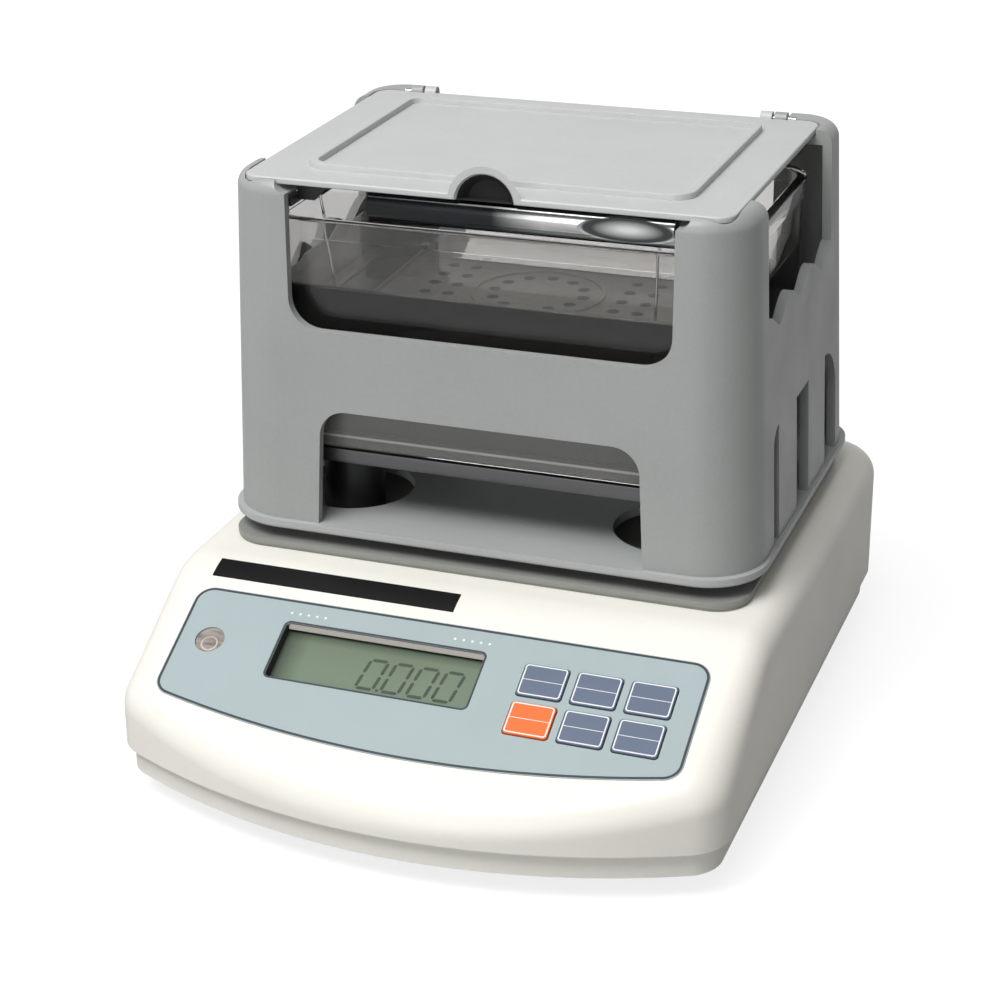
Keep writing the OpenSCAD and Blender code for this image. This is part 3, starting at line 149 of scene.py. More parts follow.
class Solid:
    """A closed mesh that is being shaped, in millimetres."""

    WELD = 0.0005
    FLAT = math.radians(0.3)

    def __init__(self, mesh: bpy.types.Mesh) -> None:
        """Put a mesh in the scene."""
        self.obj = bpy.data.objects.new("shape", mesh)
        bpy.context.scene.collection.objects.link(self.obj)

    @classmethod
    def of_faces(cls, verts: Sequence[Point3], faces: Sequence[Sequence[int]]) -> "Solid":
        """Make a body with its faces outward.

        Args:
            verts: Corners.
            faces: Loops of corner numbers.

        Returns:
            The body.
        """
        mesh = bpy.data.meshes.new("shape")
        mesh.from_pydata([tuple(v) for v in verts], [], [tuple(f) for f in faces])
        return cls(mesh).edit(lambda bm: bmesh.ops.recalc_face_normals(bm, faces=bm.faces))

    @classmethod
    def loft(cls, rings: Sequence[Sequence[Point3]], ring_shape: bool = False) -> "Solid":
        """Join loops of equal length into one closed body.

        Args:
            rings: The loops, in order.
            ring_shape: Whether the last loop joins the first, without caps.

        Returns:
            The body.
        """
        n = len(rings[0])
        last = (len(rings) - 1) * n
        verts = [p for ring in rings for p in ring]
        faces = []
        for k in range(len(rings) if ring_shape else len(rings) - 1):
            a, b = k * n, (k + 1) % len(rings) * n
            faces += [(a + i, a + (i + 1) % n, b + (i + 1) % n, b + i) for i in range(n)]
        if not ring_shape:
            faces += [tuple(range(n - 1, -1, -1)), tuple(range(last, last + n))]
        return cls.of_faces(verts, faces)

    @classmethod
    def prism(cls, outline: Sequence[Point], z0: float, z1: float) -> "Solid":
        """Extrude an outline between two heights."""
        return cls.loft([at_height(outline, z0), at_height(outline, z1)])

    @classmethod
    def lathe(cls, profile: Sequence[Point], steps: int = 64, ring_shape: bool = False) -> "Solid":
        """Turn a profile of radius and height about the upright axis.

        Args:
            profile: Radius and height pairs, upwards.
            steps: Stretches round the axis.
            ring_shape: Whether the profile is a loop of its own.

        Returns:
            The body.
        """
        turns = [math.tau * i / steps for i in range(steps)]
        pole = 1e-4
        rings = [[(max(r, pole) * math.cos(a), max(r, pole) * math.sin(a), z) for a in turns]
                 for r, z in profile]
        return cls.loft(rings, ring_shape)

    @classmethod
    def of_node(cls, node: str) -> "Solid":
        """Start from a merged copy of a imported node.

        Args:
            node: Name of the node.

        Returns:
            The copy, with its flat faces cleared of inner edges.
        """
        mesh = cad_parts[node].data.copy()
        mesh.materials.clear()
        for name in [a.name for a in mesh.attributes if a.name == "custom_normal"]:
            mesh.attributes.remove(mesh.attributes[name])
        mesh.transform(Matrix.Scale(1 / MM, 4))

        def merge(bm: bmesh.types.BMesh) -> None:
            """Weld the loose triangles and clear flat edges."""
            bmesh.ops.remove_doubles(bm, verts=bm.verts, dist=cls.WELD)
            bmesh.ops.dissolve_limit(bm, angle_limit=cls.FLAT, verts=bm.verts, edges=bm.edges)
        return cls(mesh).edit(merge)

    def edit(self, change: Callable[[bmesh.types.BMesh], object]) -> "Solid":
        """Change the mesh through bmesh.

        Args:
            change: What is done to it.

        Returns:
            The same body.
        """
        bm = bmesh.new()
        bm.from_mesh(self.obj.data)
        change(bm)
        bm.to_mesh(self.obj.data)
        bm.free()
        self.obj.data.update()
        return self

    def moved(self, matrix: Matrix) -> "Solid":
        """Move the mesh and keep its faces outward.

        Args:
            matrix: The move.

        Returns:
            The same body.
        """
        self.obj.data.transform(matrix)
        if matrix.determinant() < 0:
            self.obj.data.flip_normals()
        return self

    def shifted(self, x: float = 0, y: float = 0, z: float = 0) -> "Solid":
        """Move the mesh sideways, lengthways and up."""
        return self.moved(Matrix.Translation((x, y, z)))

    def bake(self) -> "Solid":
        """Turn the modifiers into plain mesh.

        Returns:
            The same body.
        """
        graph = bpy.context.evaluated_depsgraph_get()
        mesh = bpy.data.meshes.new_from_object(self.obj.evaluated_get(graph))
        self.obj.modifiers.clear()
        self.obj.data = mesh
        return self

    def combine(self, rule: Rule, *tools: "Solid") -> "Solid":
        """Change the body by others, which are used up.

        Args:
            rule: How they change it.
            tools: The other bodies.

        Returns:
            The same body.
        """
        for tool in tools:
            step = self.obj.modifiers.new("combine", "BOOLEAN")
            step.operation = rule.value
            step.solver = "EXACT"
            step.object = tool.obj
            self.bake()
            bpy.data.objects.remove(tool.obj)
        return self

    def cut(self, *tools: "Solid") -> "Solid":
        """Take other bodies away from this one."""
        return self.combine(Rule.CUT, *tools)

    def join(self, *tools: "Solid") -> "Solid":
        """Fuse other bodies with this one."""
        return self.combine(Rule.ADD, *tools)

    def keep(self, tool: "Solid") -> "Solid":
        """Keep only what lies in another body."""
        return self.combine(Rule.KEEP, tool)

    def beside(self, *others: "Solid") -> "Solid":
        """Carry other bodies in the same mesh without fusing them.

        Args:
            others: The other bodies.

        Returns:
            The same body.
        """
        bm = bmesh.new()
        bm.from_mesh(self.obj.data)
        for other in others:
            bm.from_mesh(other.obj.data)
            bpy.data.objects.remove(other.obj)
        bm.to_mesh(self.obj.data)
        bm.free()
        return self

    def bevelled(self, width: float, segments: int = 2, angle: float = 50) -> "Solid":
        """Round the sharp edges.

        Args:
            width: Width of the rounding.
            segments: Stretches across it.
            angle: Smallest edge angle that is rounded, in degrees.

        Returns:
            The same body.
        """
        step = self.obj.modifiers.new("round", "BEVEL")
        step.width = width
        step.segments = segments
        step.limit_method = "ANGLE"
        step.angle_limit = math.radians(angle)
        step.use_clamp_overlap = True
        step.miter_outer = "MITER_ARC"
        return self.bake()

    def place(self, name: str, body: str, finish: "Finish", stands_for: Sequence[str] = (),
              slot: str = "", sharp: float = 38) -> None:
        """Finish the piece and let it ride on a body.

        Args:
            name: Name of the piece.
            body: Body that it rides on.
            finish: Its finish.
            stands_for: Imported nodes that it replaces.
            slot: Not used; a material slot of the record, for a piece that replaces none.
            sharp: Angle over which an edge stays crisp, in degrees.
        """
        self.edit(lambda bm: bmesh.ops.triangulate(
            bm, faces=[f for f in bm.faces if len(f.verts) > 4], ngon_method="BEAUTY"))
        obj, mesh = self.obj, self.obj.data
        mesh.transform(Matrix.Scale(MM, 4))
        mesh.name = obj.name = name
        mesh.materials.clear()
        mesh.materials.append(finish.material())
        mesh.shade_smooth()
        mesh.set_sharp_from_angle(angle=math.radians(sharp))
        step = obj.modifiers.new("normals", "WEIGHTED_NORMAL")
        step.keep_sharp = True
        self.bake()
        obj.data.name = name
        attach(obj, body)
        if stands_for:
            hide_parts(*stands_for)
        LOG.info("%s rides on %s, %d faces", name, body, len(obj.data.polygons))


class Maths(Enum):
    """How two values are joined."""

    ADD = "ADD"
    TIMES = "MULTIPLY"
    POWER = "POWER"
    LARGER = "MAXIMUM"


class Cells(Enum):
    """What a cell pattern measures."""

    CENTRES = "F1"
    BORDERS = "DISTANCE_TO_EDGE"


def feed(target: Socket, value: Socket | Colour | float) -> None:
    """Drive an input by a socket, or give it a colour or a number.

    Args:
        target: The input.
        value: The socket, colour or number.
    """
    if isinstance(value, Socket):
        target.id_data.links.new(value, target)
    else:
        target.default_value = (*value, 1) if isinstance(value, tuple) else value


def joined(tree: bpy.types.NodeTree, a: Socket, b: Socket | float, how: Maths) -> Socket:
    """Join two values.

    Args:
        tree: Node tree that gets the node.
        a: First value.
        b: Second value.
        how: How they are joined.

    Returns:
        The result.
    """
    node = tree.nodes.new("ShaderNodeMath")
    node.operation = how.value
    feed(node.inputs[0], a)
    feed(node.inputs[1], b)
    return node.outputs[0]


def mapped(tree: bpy.types.NodeTree, value: Socket, old: Point = (0, 1),
           new: Point = (0, 1)) -> Socket:
    """Map a range of a value onto another, clamped.

    Args:
        tree: Node tree that gets the node.
        value: The value.
        old: Range that it comes from.
        new: Range that it goes to.

    Returns:
        The result.
    """
    node = tree.nodes.new("ShaderNodeMapRange")
    for key, number in zip(("From Min", "From Max", "To Min", "To Max"), (*old, *new)):
        node.inputs[key].default_value = number
    feed(node.inputs["Value"], value)
    return node.outputs["Result"]


class Graph:
    """A material's nodes, with short calls for what the finishes share."""

    MIDDLE = (0.3, 0.7)

    def __init__(self, name: str) -> None:
        """Start a material with its shader and its Object coordinates.

        Args:
            name: Name of the material.
        """
        self.material = bpy.data.materials.new(name)
        self.material.use_nodes = True
        self.tree = self.material.node_tree
        self.shader = self.tree.nodes["Principled BSDF"]
        self.place = self.tree.nodes.new("ShaderNodeTexCoord").outputs["Object"]

    def put(self, **values: Socket | Colour | float) -> None:
        """Set or drive the shader's inputs.

        Args:
            values: What each input gets, with the spaces of its name left out.
        """
        for socket in self.shader.inputs:
            if socket.name.replace(" ", "") in values:
                feed(socket, values[socket.name.replace(" ", "")])

    def stretched(self, scale: Point3, turn: Point3 = (0, 0, 0)) -> Socket:
        """Give the coordinates scaled along each axis, after a turn.

        Args:
            scale: Scale along each axis.
            turn: Turn about each axis, in degrees.

        Returns:
            The coordinates.
        """
        node = self.tree.nodes.new("ShaderNodeMapping")
        node.inputs["Scale"].default_value = scale
        node.inputs["Rotation"].default_value = tuple(math.radians(a) for a in turn)
        feed(node.inputs["Vector"], self.place)
        return node.outputs["Vector"]

    def noise(self, scale: float, detail: float = 4, rough: float = 0.5,
              where: Socket | None = None) -> Socket:
        """Give a noise from 0 to 1.

        Args:
            scale: Scale per metre.
            detail: Number of finer layers.
            rough: Weight of the finer layers.
            where: Coordinates, where they aren't the plain ones.

        Returns:
            The noise.
        """
        node = self.tree.nodes.new("ShaderNodeTexNoise")
        for key, value in (("Scale", scale), ("Detail", detail), ("Roughness", rough)):
            node.inputs[key].default_value = value
        feed(node.inputs["Vector"], where or self.place)
        return node.outputs["Fac"]

    def cells(self, scale: float, measure: Cells = Cells.CENTRES) -> Socket:
        """Give distances in a cell pattern.

        Args:
            scale: Scale per metre.
            measure: What is measured.

        Returns:
            The distances.
        """
        node = self.tree.nodes.new("ShaderNodeTexVoronoi")
        node.feature = measure.value
        node.inputs["Scale"].default_value = scale
        feed(node.inputs["Vector"], self.place)
        return node.outputs["Distance"]

    def axis(self, name: str) -> Socket:
        """Give the place along one axis, in metres.

        Args:
            name: X, Y or Z.

        Returns:
            The place.
        """
        node = self.tree.nodes.new("ShaderNodeSeparateXYZ")
        feed(node.inputs[0], self.place)
        return node.outputs[name]

    def spread(self, value: Socket, old: Point = MIDDLE, new: Point = (0, 1)) -> Socket:
        """Map a range of a value onto another, clamped."""
        return mapped(self.tree, value, old, new)

    def join(self, a: Socket, b: Socket | float, how: Maths = Maths.TIMES) -> Socket:
        """Join two values."""
        return joined(self.tree, a, b, how)

    def blend(self, share: Socket, low: Colour | Socket, high: Colour | Socket) -> Socket:
        """Mix two colours.

        Args:
            share: Share of the second.
            low: First colour.
            high: Second colour.

        Returns:
            The mixed colour.
        """
        node = self.tree.nodes.new("ShaderNodeMix")
        node.data_type = "RGBA"
        for number, value in ((0, share), (6, low), (7, high)):
            feed(node.inputs[number], value)
        return node.outputs[2]

    def bump(self, height: Socket, depth: float, strength: float = 1,
             over: Socket | None = None) -> Socket:
        """Turn a height into a bump of the shader.

        Args:
            height: The height, from 0 to 1.
            depth: Depth in metres.
            strength: Share of the bump that shows.
            over: Bump that it lies on.

        Returns:
            The bumped normal.
        """
        node = self.tree.nodes.new("ShaderNodeBump")
        node.inputs["Distance"].default_value = depth
        node.inputs["Strength"].default_value = strength
        feed(node.inputs["Height"], height)
        if over:
            feed(node.inputs["Normal"], over)
        self.put(Normal=node.outputs["Normal"])
        return node.outputs["Normal"]


_made: dict[str, bpy.types.Material] = {}


def shade(colour: Colour, share: float, lift: float = 0) -> Colour:
    """Give a colour times a share, lifted by an amount and at most white."""
    return tuple(min(1, c * share + lift) for c in colour)


@dataclass(frozen=True)
class Finish:
    """What every finish has: a name, and a material that is made once."""

    name: str

    def material(self) -> bpy.types.Material:
        """Give the material, made on first use.

        Returns:
            The material.
        """
        if self.name not in _made:
            graph = Graph(self.name)
            self.paint(graph)
            _made[self.name] = graph.material
        return _made[self.name]

    def paint(self, graph: Graph) -> None:
        """Set the shader's nodes."""
        raise NotImplementedError


@dataclass(frozen=True)
class MouldedPlastic(Finish):
    """Injection-moulded plastic with fine grain, faint flow marks and handling sheen."""

    colour: Colour = (0.5, 0.5, 0.5)
    roughness: float = 0.42
    grain: float = 1500
    grain_depth: float = 0.00001
    mottle: float = 0.05
    specular: float = 0.45
    wave_depth: float = 0.00012

    def paint(self, graph: Graph) -> None:
        """Set colour mottle, roughness patches and grain.

        Args:
            graph: The material's nodes.
        """
        speck = graph.spread(graph.noise(900, 2, 0.6), graph.MIDDLE, (-0.12, 0.12))
        tone = graph.spread(graph.join(graph.noise(18, 6, 0.55), speck, Maths.ADD))
        sheen = graph.spread(graph.noise(55, 5, 0.6), (0.35, 0.7),
                             (self.roughness - 0.05, self.roughness + 0.07))
        dark, light = (shade(self.colour, 1 + sign * self.mottle) for sign in (-1, 1))
        graph.put(BaseColor=graph.blend(tone, dark, light), Roughness=sheen,
                  SpecularIORLevel=self.specular)
        waves = graph.bump(graph.noise(60, 2, 0.4), self.wave_depth, 0.25)
        graph.bump(graph.noise(self.grain, 3, 0.65), self.grain_depth, 0.6, waves)


@dataclass(frozen=True)
class PrintedFilm(Finish):
    """Screen-printed matte film with a fine embossed grain."""

    colour: Colour = (0.4, 0.5, 0.5)
    roughness: float = 0.4
    depth: float = 0.000006
    specular: float = 0.4
    uneven_ink: float = 0.04

    def paint(self, graph: Graph) -> None:
        """Set ink tone and film grain.

        Args:
            graph: The material's nodes.
        """
        dark, light = (shade(self.colour, 1 + sign * self.uneven_ink) for sign in (-1, 1))
        graph.put(BaseColor=graph.blend(graph.noise(40, 5, 0.6), dark, light),
                  Roughness=graph.spread(graph.noise(160), graph.MIDDLE,
                                         (self.roughness - 0.04, self.roughness + 0.06)),
                  SpecularIORLevel=self.specular)
        graph.bump(graph.cells(3200), self.depth, 0.6)


@dataclass(frozen=True)
class Metal(Finish):
    """Bare or plated metal with drawn or rolled lines."""

    colour: Colour = (0.7, 0.7, 0.7)
    roughness: float = 0.3
    lines: Point3 = (30, 1200, 1200)
    depth: float = 0.000004
    dull: float = 0.86

    def paint(self, graph: Graph) -> None:
        """Set metal tone, lines and stains.

        Args:
            graph: The material's nodes.
        """
        streaks = graph.noise(1, 4, 0.6, graph.stretched(self.lines))
        stains = graph.join(graph.spread(graph.noise(70, 5, 0.6), (0.3, 0.75), (0, 0.12)),
                            graph.spread(streaks, graph.MIDDLE, (-0.05, 0.05)), Maths.ADD)
        graph.put(Metallic=1.0, Roughness=graph.join(stains, self.roughness, Maths.ADD),
                  BaseColor=graph.blend(graph.spread(streaks), shade(self.colour, self.dull),
                                        self.colour))
        graph.bump(streaks, self.depth, 0.7)


@dataclass(frozen=True)
class PolishedMetal(Finish):
    """Mirror-bright bar whose colour carries a painted reflection: dark towards one end and its
    long edges, bright between, with painted light rings round its dimple.
    """

    # Colours of the painted reflection: bright where the bar mirrors light, dark where it mirrors
    # shade.
    bright: Colour = (0.86, 0.87, 0.86)
    painted_dark_reflection: Colour = (0.035, 0.037, 0.04)
    fade: Point = (0.004, 0.02)
    low_edge: Point = (0.1722, 0.1776)
    high_edge: Point = (0.1788, 0.1808)
    dimple: Point = (0.046, 0.17715)
    dimple_half: Point = (0.0155, 0.0040)
    ring_in: Point = (0.86, 0.93)
    ring_out: Point = (0.97, 1.03)
    ring_level: float = 0.7
    core: Point = (0.15, 0.72)

    def offset(self, graph: Graph, place: Socket, middle: float, half: float) -> Socket:
        """Give the square of a distance from the dimple's middle, as a share of its half size."""
        share = graph.join(graph.join(place, -middle, Maths.ADD), 1 / half)
        return graph.join(share, 2.0, Maths.POWER)

    def paint(self, graph: Graph) -> None:
        """Set the painted reflection (a bright band, dark towards one end and the long edges, and
        light rings round the dimple) and the faint wiping marks.

        Args:
            graph: The material's nodes.
        """
        along, up = graph.axis("X"), graph.axis("Z")
        wisp = graph.spread(graph.noise(1, 4, 0.6, graph.stretched((60, 30, 260))),
                            graph.MIDDLE, (0.75, 1))
        # Painted reflection: a bright band between the long edges, fading dark towards the left
        # end.
        band = graph.join(graph.spread(up, self.low_edge), graph.spread(up, self.high_edge, (1, 0)))
        shine = graph.join(graph.join(band, graph.spread(along, self.fade)), wisp)
        (x, z), (half_x, half_z) = self.dimple, self.dimple_half
        squares = graph.join(self.offset(graph, along, x, half_x),
                             self.offset(graph, up, z, half_z), Maths.ADD)
        far = graph.join(squares, 0.5, Maths.POWER)
        # Painted light rings and core round the dimple.
        ring = graph.join(graph.spread(far, self.ring_in),
                          graph.spread(up, (z - 0.0015, z + 0.003), (1, 0.25)))
        core = graph.spread(far, self.core, (1, 0.05))
        inside = graph.join(graph.join(core, graph.join(ring, self.ring_level), Maths.LARGER),
                            graph.spread(far, self.ring_out, (1, 0)))
        outside = graph.join(shine, graph.spread(far, (self.ring_in[1], 1)))
        marks = graph.noise(1, 4, 0.6, graph.stretched((60, 900, 900)))
        graph.put(Metallic=1.0, Roughness=graph.spread(marks, (0.3, 0.75), (0.09, 0.2)),
                  BaseColor=graph.blend(graph.join(outside, inside, Maths.LARGER),
                                        self.painted_dark_reflection, self.bright))
        graph.bump(marks, 0.000001, 0.7)


@dataclass(frozen=True)
class ClearPlastic(Finish):
    """Clear moulded acrylic with hairline scratches, a foot made less clear as painted sheen, and a
    painted highlight line at its floor.
    """

    tint: Colour = (0.95, 0.98, 0.98)
    foot_tint: float = 0.85
    span: Point = (0.095, 0.155)
    # Less clear at the foot (painted sheen) and along a thin line near the floor (painted
    # highlight).
    painted_sheen_span: Point = (0.118, 0.134)
    clearness: Point = (0.7, 0.985)
    painted_highlight_low: Point = (0.0985, 0.099)
    painted_highlight_high: Point = (0.0993, 0.0997)
    painted_highlight_level: float = 0.6
    ior: float = 1.49
    roughness: float = 0.01

    def paint(self, graph: Graph) -> None:
        """Set transmission, lowered at the foot for painted sheen and at a line for a painted
        highlight, a tint that deepens downwards, and scratches.

        Args:
            graph: The material's nodes.
        """
        up = graph.axis("Z")
        # Painted highlight: a thin band near the floor where less light passes and the acrylic
        # shows lighter.
        line = graph.join(graph.spread(up, self.painted_highlight_low), graph.spread(up, self.painted_highlight_high, (1, 0)))
        film = graph.join(graph.spread(up, self.painted_sheen_span, self.clearness),
                          graph.join(line, -self.painted_highlight_level), Maths.ADD)
        cloud = graph.spread(graph.noise(25, 3), graph.MIDDLE, (-0.06, 0.06))
        height = graph.join(graph.spread(up, self.span), cloud, Maths.ADD)
        scratches = graph.noise(1, 6, 0.7, graph.stretched((900, 40, 60), (20, 0, 35)))
        graph.put(IOR=self.ior, TransmissionWeight=film,
                  BaseColor=graph.blend(height, shade(self.tint, self.foot_tint), self.tint),
                  Roughness=graph.spread(scratches, (0.62, 0.8),
                                         (self.roughness, self.roughness + 0.12)))
        graph.bump(graph.noise(45, 2), 0.00006, 0.35)


@dataclass(frozen=True)
class StillWater(Finish):
    """Water that stands almost still, clear through its surface and painted dark below it, a
    painted shade seen from the side.
    """

    tint: Colour = (0.93, 0.925, 0.9)
    # Painted shade: the water's colour below its surface.
    side: Colour = (0.03, 0.03, 0.03)
    surface: Point = (0.1476, 0.1483)
    ior: float = 1.333

    def paint(self, graph: Graph) -> None:
        """Set the water's two colours, clear at its surface and painted shade below it, and the
        faintest ripple.

        Args:
            graph: The material's nodes.
        """
        cloud = graph.spread(graph.noise(12, 2), graph.MIDDLE, (-0.02, 0.02))
        # Clear only in a thin layer at the surface; below it the colour is painted shade.
        depth = graph.join(graph.spread(graph.axis("Z"), self.surface), cloud, Maths.ADD)
        graph.put(TransmissionWeight=1.0, IOR=self.ior, Roughness=0.0,
                  BaseColor=graph.blend(depth, self.side, self.tint))
        graph.bump(graph.noise(30, 1, 0.3), 0.0001, 0.2)


@dataclass(frozen=True)
class LevelLiquid(Finish):
    """Brownish liquid of a bubble level, with painted streaks of light from its cup."""

    dark: Colour = (0.22, 0.185, 0.165)
    pale: Colour = (0.46, 0.42, 0.39)

    def paint(self, graph: Graph) -> None:
        """Set the painted streaks of light under a wet surface.

        Args:
            graph: The material's nodes.
        """
        streaks = graph.noise(1, 3, 0.5, graph.stretched((120, 520, 120), (0, 0, 20)))
        # Painted light: pale streaks over the dark brown.
        graph.put(BaseColor=graph.blend(graph.spread(streaks, (0.35, 0.65)), self.dark, self.pale),
                  Roughness=graph.spread(graph.noise(300, 2), graph.MIDDLE, (0.08, 0.2)),
                  CoatWeight=0.6)
        graph.bump(graph.noise(240, 1), 0.0002, 0.4)


@dataclass(frozen=True)
class Rubber(Finish):
    """Soft black rubber with dusty pores."""

    colour: Colour = (0.02, 0.02, 0.02)

    def paint(self, graph: Graph) -> None:
        """Set rubber tone, dust and pores.

        Args:
            graph: The material's nodes.
        """
        dust = graph.spread(graph.noise(120, 6, 0.7), (0.45, 0.8))
        graph.put(BaseColor=graph.blend(dust, self.colour, shade(self.colour, 2.4, 0.01)),
                  Roughness=graph.spread(graph.noise(200, 3), graph.MIDDLE, (0.65, 0.85)))
        graph.bump(graph.cells(1600), 0.00003, 0.6)


@dataclass(frozen=True)
class CircuitBoard(Finish):
    """Green solder resist with copper traces under it."""

    colour: Colour = (0.01, 0.09, 0.04)

    def paint(self, graph: Graph) -> None:
        """Set resist and traces.

        Args:
            graph: The material's nodes.
        """
        lines = graph.spread(graph.cells(260, Cells.BORDERS), (0.02, 0.05))
        graph.put(BaseColor=graph.blend(lines, shade(self.colour, 1.8, 0.01), self.colour),
                  Roughness=graph.spread(graph.noise(300, 3), graph.MIDDLE, (0.25, 0.4)))
        graph.bump(lines, 0.00002, 0.5)


@dataclass(frozen=True)
class DisplayGlass(Finish):
    """Liquid crystal behind its glass, grey-green, brighter to the front, and dark at two edges,
    partly its masked border and partly painted shadow of the window's walls.
    """

    low: Colour = (0.17, 0.215, 0.155)
    high: Colour = (0.215, 0.275, 0.205)
    # Colour of the dark edges: masked border and painted shadow.
    rim: Colour = (0.012, 0.014, 0.012)
    depth: Point = (-0.088, -0.068)
    left: Point = (-0.0508, -0.0415)
    rear: Point = (-0.0663, -0.0703)

    def paint(self, graph: Graph) -> None:
        """Set the panel's gradient, cloudiness, dark edges (masked border and painted shadow) and
        gloss.

        Args:
            graph: The material's nodes.
        """
        across, along = graph.axis("X"), graph.axis("Y")
        cloud = graph.spread(graph.noise(35, 4, 0.6), graph.MIDDLE, (-0.15, 0.15))
        front = graph.join(graph.spread(along, self.depth, (1, 0)), cloud, Maths.ADD)
        # Darker towards the left and rear edges: masked border and painted shadow of the window's
        # walls.
        edge = graph.join(graph.spread(across, self.left), graph.spread(along, self.rear))
        graph.put(Roughness=0.16, BaseColor=graph.blend(
            graph.join(edge, 0.6, Maths.POWER), self.rim, graph.blend(front, self.low, self.high)))
        graph.bump(graph.noise(2600, 2), 0.000003, 0.4)


class Finishes:
    """The finishes of this instrument."""

    cream = MouldedPlastic("cream_paint", srgb(241, 239, 230), 0.34, 700, 0.000012, 0.015, 0.5)
    # A little lighter than the upper shell's cream: painted light on the lower shell.
    cream_lower_painted_light = MouldedPlastic("cream_lower_painted_light", srgb(246, 244, 236), 0.45, mottle=0.02)
    grey = MouldedPlastic("grey_moulding", srgb(163, 166, 164), 0.38, mottle=0.04)
    grey_base = MouldedPlastic("grey_base", srgb(172, 176, 175), 0.4, mottle=0.03)
    # The frame's grey, painted lighter on the lid for the light on its top.
    grey_lid_painted_light = MouldedPlastic("grey_lid_painted_light", srgb(196, 198, 197), 0.42, mottle=0.03)
    grey_stage = MouldedPlastic("grey_stage", srgb(140, 141, 137), 0.42, mottle=0.03)
    black = MouldedPlastic("black_plastic", srgb(24, 24, 26), 0.35, mottle=0.1)
    # Lighter than the other black plastic, painting the sheen on the posts.
    black_post_painted_sheen = MouldedPlastic("black_post_painted_sheen", srgb(42, 42, 44), 0.4, mottle=0.1)
    overlay = PrintedFilm("overlay_blue", srgb(166, 180, 182))
    overlay_ink = PrintedFilm("overlay_dark_ink", srgb(62, 68, 76))
    white_ink = PrintedFilm("white_ink", srgb(236, 238, 238))
    strip = PrintedFilm("strip_black", srgb(18, 18, 20), 0.5, specular=0.2)
    key = PrintedFilm("key_grey", srgb(102, 113, 134), 0.42)
    key_orange = PrintedFilm("key_orange", srgb(246, 116, 54), 0.42)
    # Dark window walls are painted shade, and the pale top chamfer is painted light.
    bezel = MouldedPlastic("bezel_dark_painted_shade", srgb(38, 38, 36), 0.5)
    bezel_painted_light = MouldedPlastic("bezel_painted_light", srgb(168, 164, 158), 0.4)
    lcd = DisplayGlass("display_glass")
    lcd_ink = PrintedFilm("display_segments", srgb(72, 84, 72), 0.3)
    # Dark grey painted into the thumb arch, where there is only shade.
    arch_inside = MouldedPlastic("thumb_arch_painted_shade", srgb(46, 46, 46), 0.6, specular=0.2)
    acrylic = ClearPlastic("tank_acrylic", (0.72, 0.71, 0.695))
    level = LevelLiquid("level_liquid")
    bubble = PrintedFilm("level_bubble", srgb(196, 190, 184), 0.12)
    holder = MouldedPlastic("level_holder", srgb(150, 128, 116), 0.5)
    water = StillWater("still_water")
    steel = Metal("plated_steel", (0.62, 0.62, 0.63))
    polished = PolishedMetal("polished_bar")
    bright_steel = Metal("bright_steel", (0.74, 0.74, 0.75), 0.14)
    aluminium = Metal("satin_aluminium", (0.72, 0.73, 0.74), 0.36, (1400, 40, 1400))
    platform = Metal("platform_sheet", (0.16, 0.16, 0.165), 0.34, (20, 900, 900))
    tray = Metal("tray_sheet", (0.78, 0.75, 0.69), 0.5, (500, 500, 500))
    brass = Metal("turned_brass", (0.72, 0.5, 0.2), 0.3, (900, 900, 60))
    rubber = Rubber("black_rubber")
    board = CircuitBoard("circuit_board")


PANEL_TILT = math.radians(27)
FRAME_Y = 27.0
CREASE_Y = -49.2
CREASE_R = 30
TOP_Z = 62
HINGE = (0, 58.2, 183.6)
KNUCKLE_R = 2.2
ON_SLOPE = (Matrix.Translation((0, -59.625, 56.688))
            @ Matrix.Rotation(PANEL_TILT, 4, "X"))
ALONG_Y = Matrix(((1, 0, 0, 0), (0, 0, 1, 0), (0, 1, 0, 0), (0, 0, 0, 1)))
ALONG_X = Matrix(((0, 0, 1, 0), (1, 0, 0, 0), (0, 1, 0, 0), (0, 0, 0, 1)))
IN_FRAME = Matrix.Translation((0, FRAME_Y, 0))
SIDES = (-1, 1)
FAR = 200
THROUGH = (-100, 100)
CORNERS = ("fl", "fr", "rl", "rr")


def box(x0: float, x1: float, y0: float, y1: float, z0: float, z1: float) -> Solid:
    """Make a block between two corners, to cut or build with."""
    return Solid.prism([(x0, y0), (x1, y0), (x1, y1), (x0, y1)], z0, z1)


def disc(x: float, y: float, r: float, z0: float, z1: float, steps: int = 48) -> Solid:
    """Make an upright round bar, to cut or build with."""
    return Solid.prism(arc(x, y, r, 0, 360 - 360 / steps, steps - 1), z0, z1)


def knuckle(r: float, x0: float, x1: float, steps: int = 32) -> Solid:
    """Make a round bar on the hinge's axis, to cut or build with."""
    return disc(0, 0, r, x0, x1, steps).moved(ALONG_X).shifted(*HINGE)


def soft_plate(outline: Callable[[float], list[Point]], z0: float, z1: float, r: float,
               steps: int = 4, foot: float = 0) -> Solid:
    """Make a plate with a rounded top edge.

    Args:
        outline: Gives the outline grown by an amount.
        z0: Underside.
        z1: Top.
        r: Rounding of the top edge.
        steps: Stretches of the rounding.
        foot: Rounding of the bottom edge.

    Returns:
        The plate.
    """
    rings = [at_height(outline(0), z0 + foot)]
    for i in range(1, steps + 1 if foot else 0):
        inward, left = quarter(i, steps)
        rings.insert(0, at_height(outline(-foot * inward), z0 + foot * left))
    for i in range(steps + 1):
        inward, left = quarter(i, steps)
        rings.append(at_height(outline(-r * inward), z1 - r * left))
    return Solid.loft(rings)


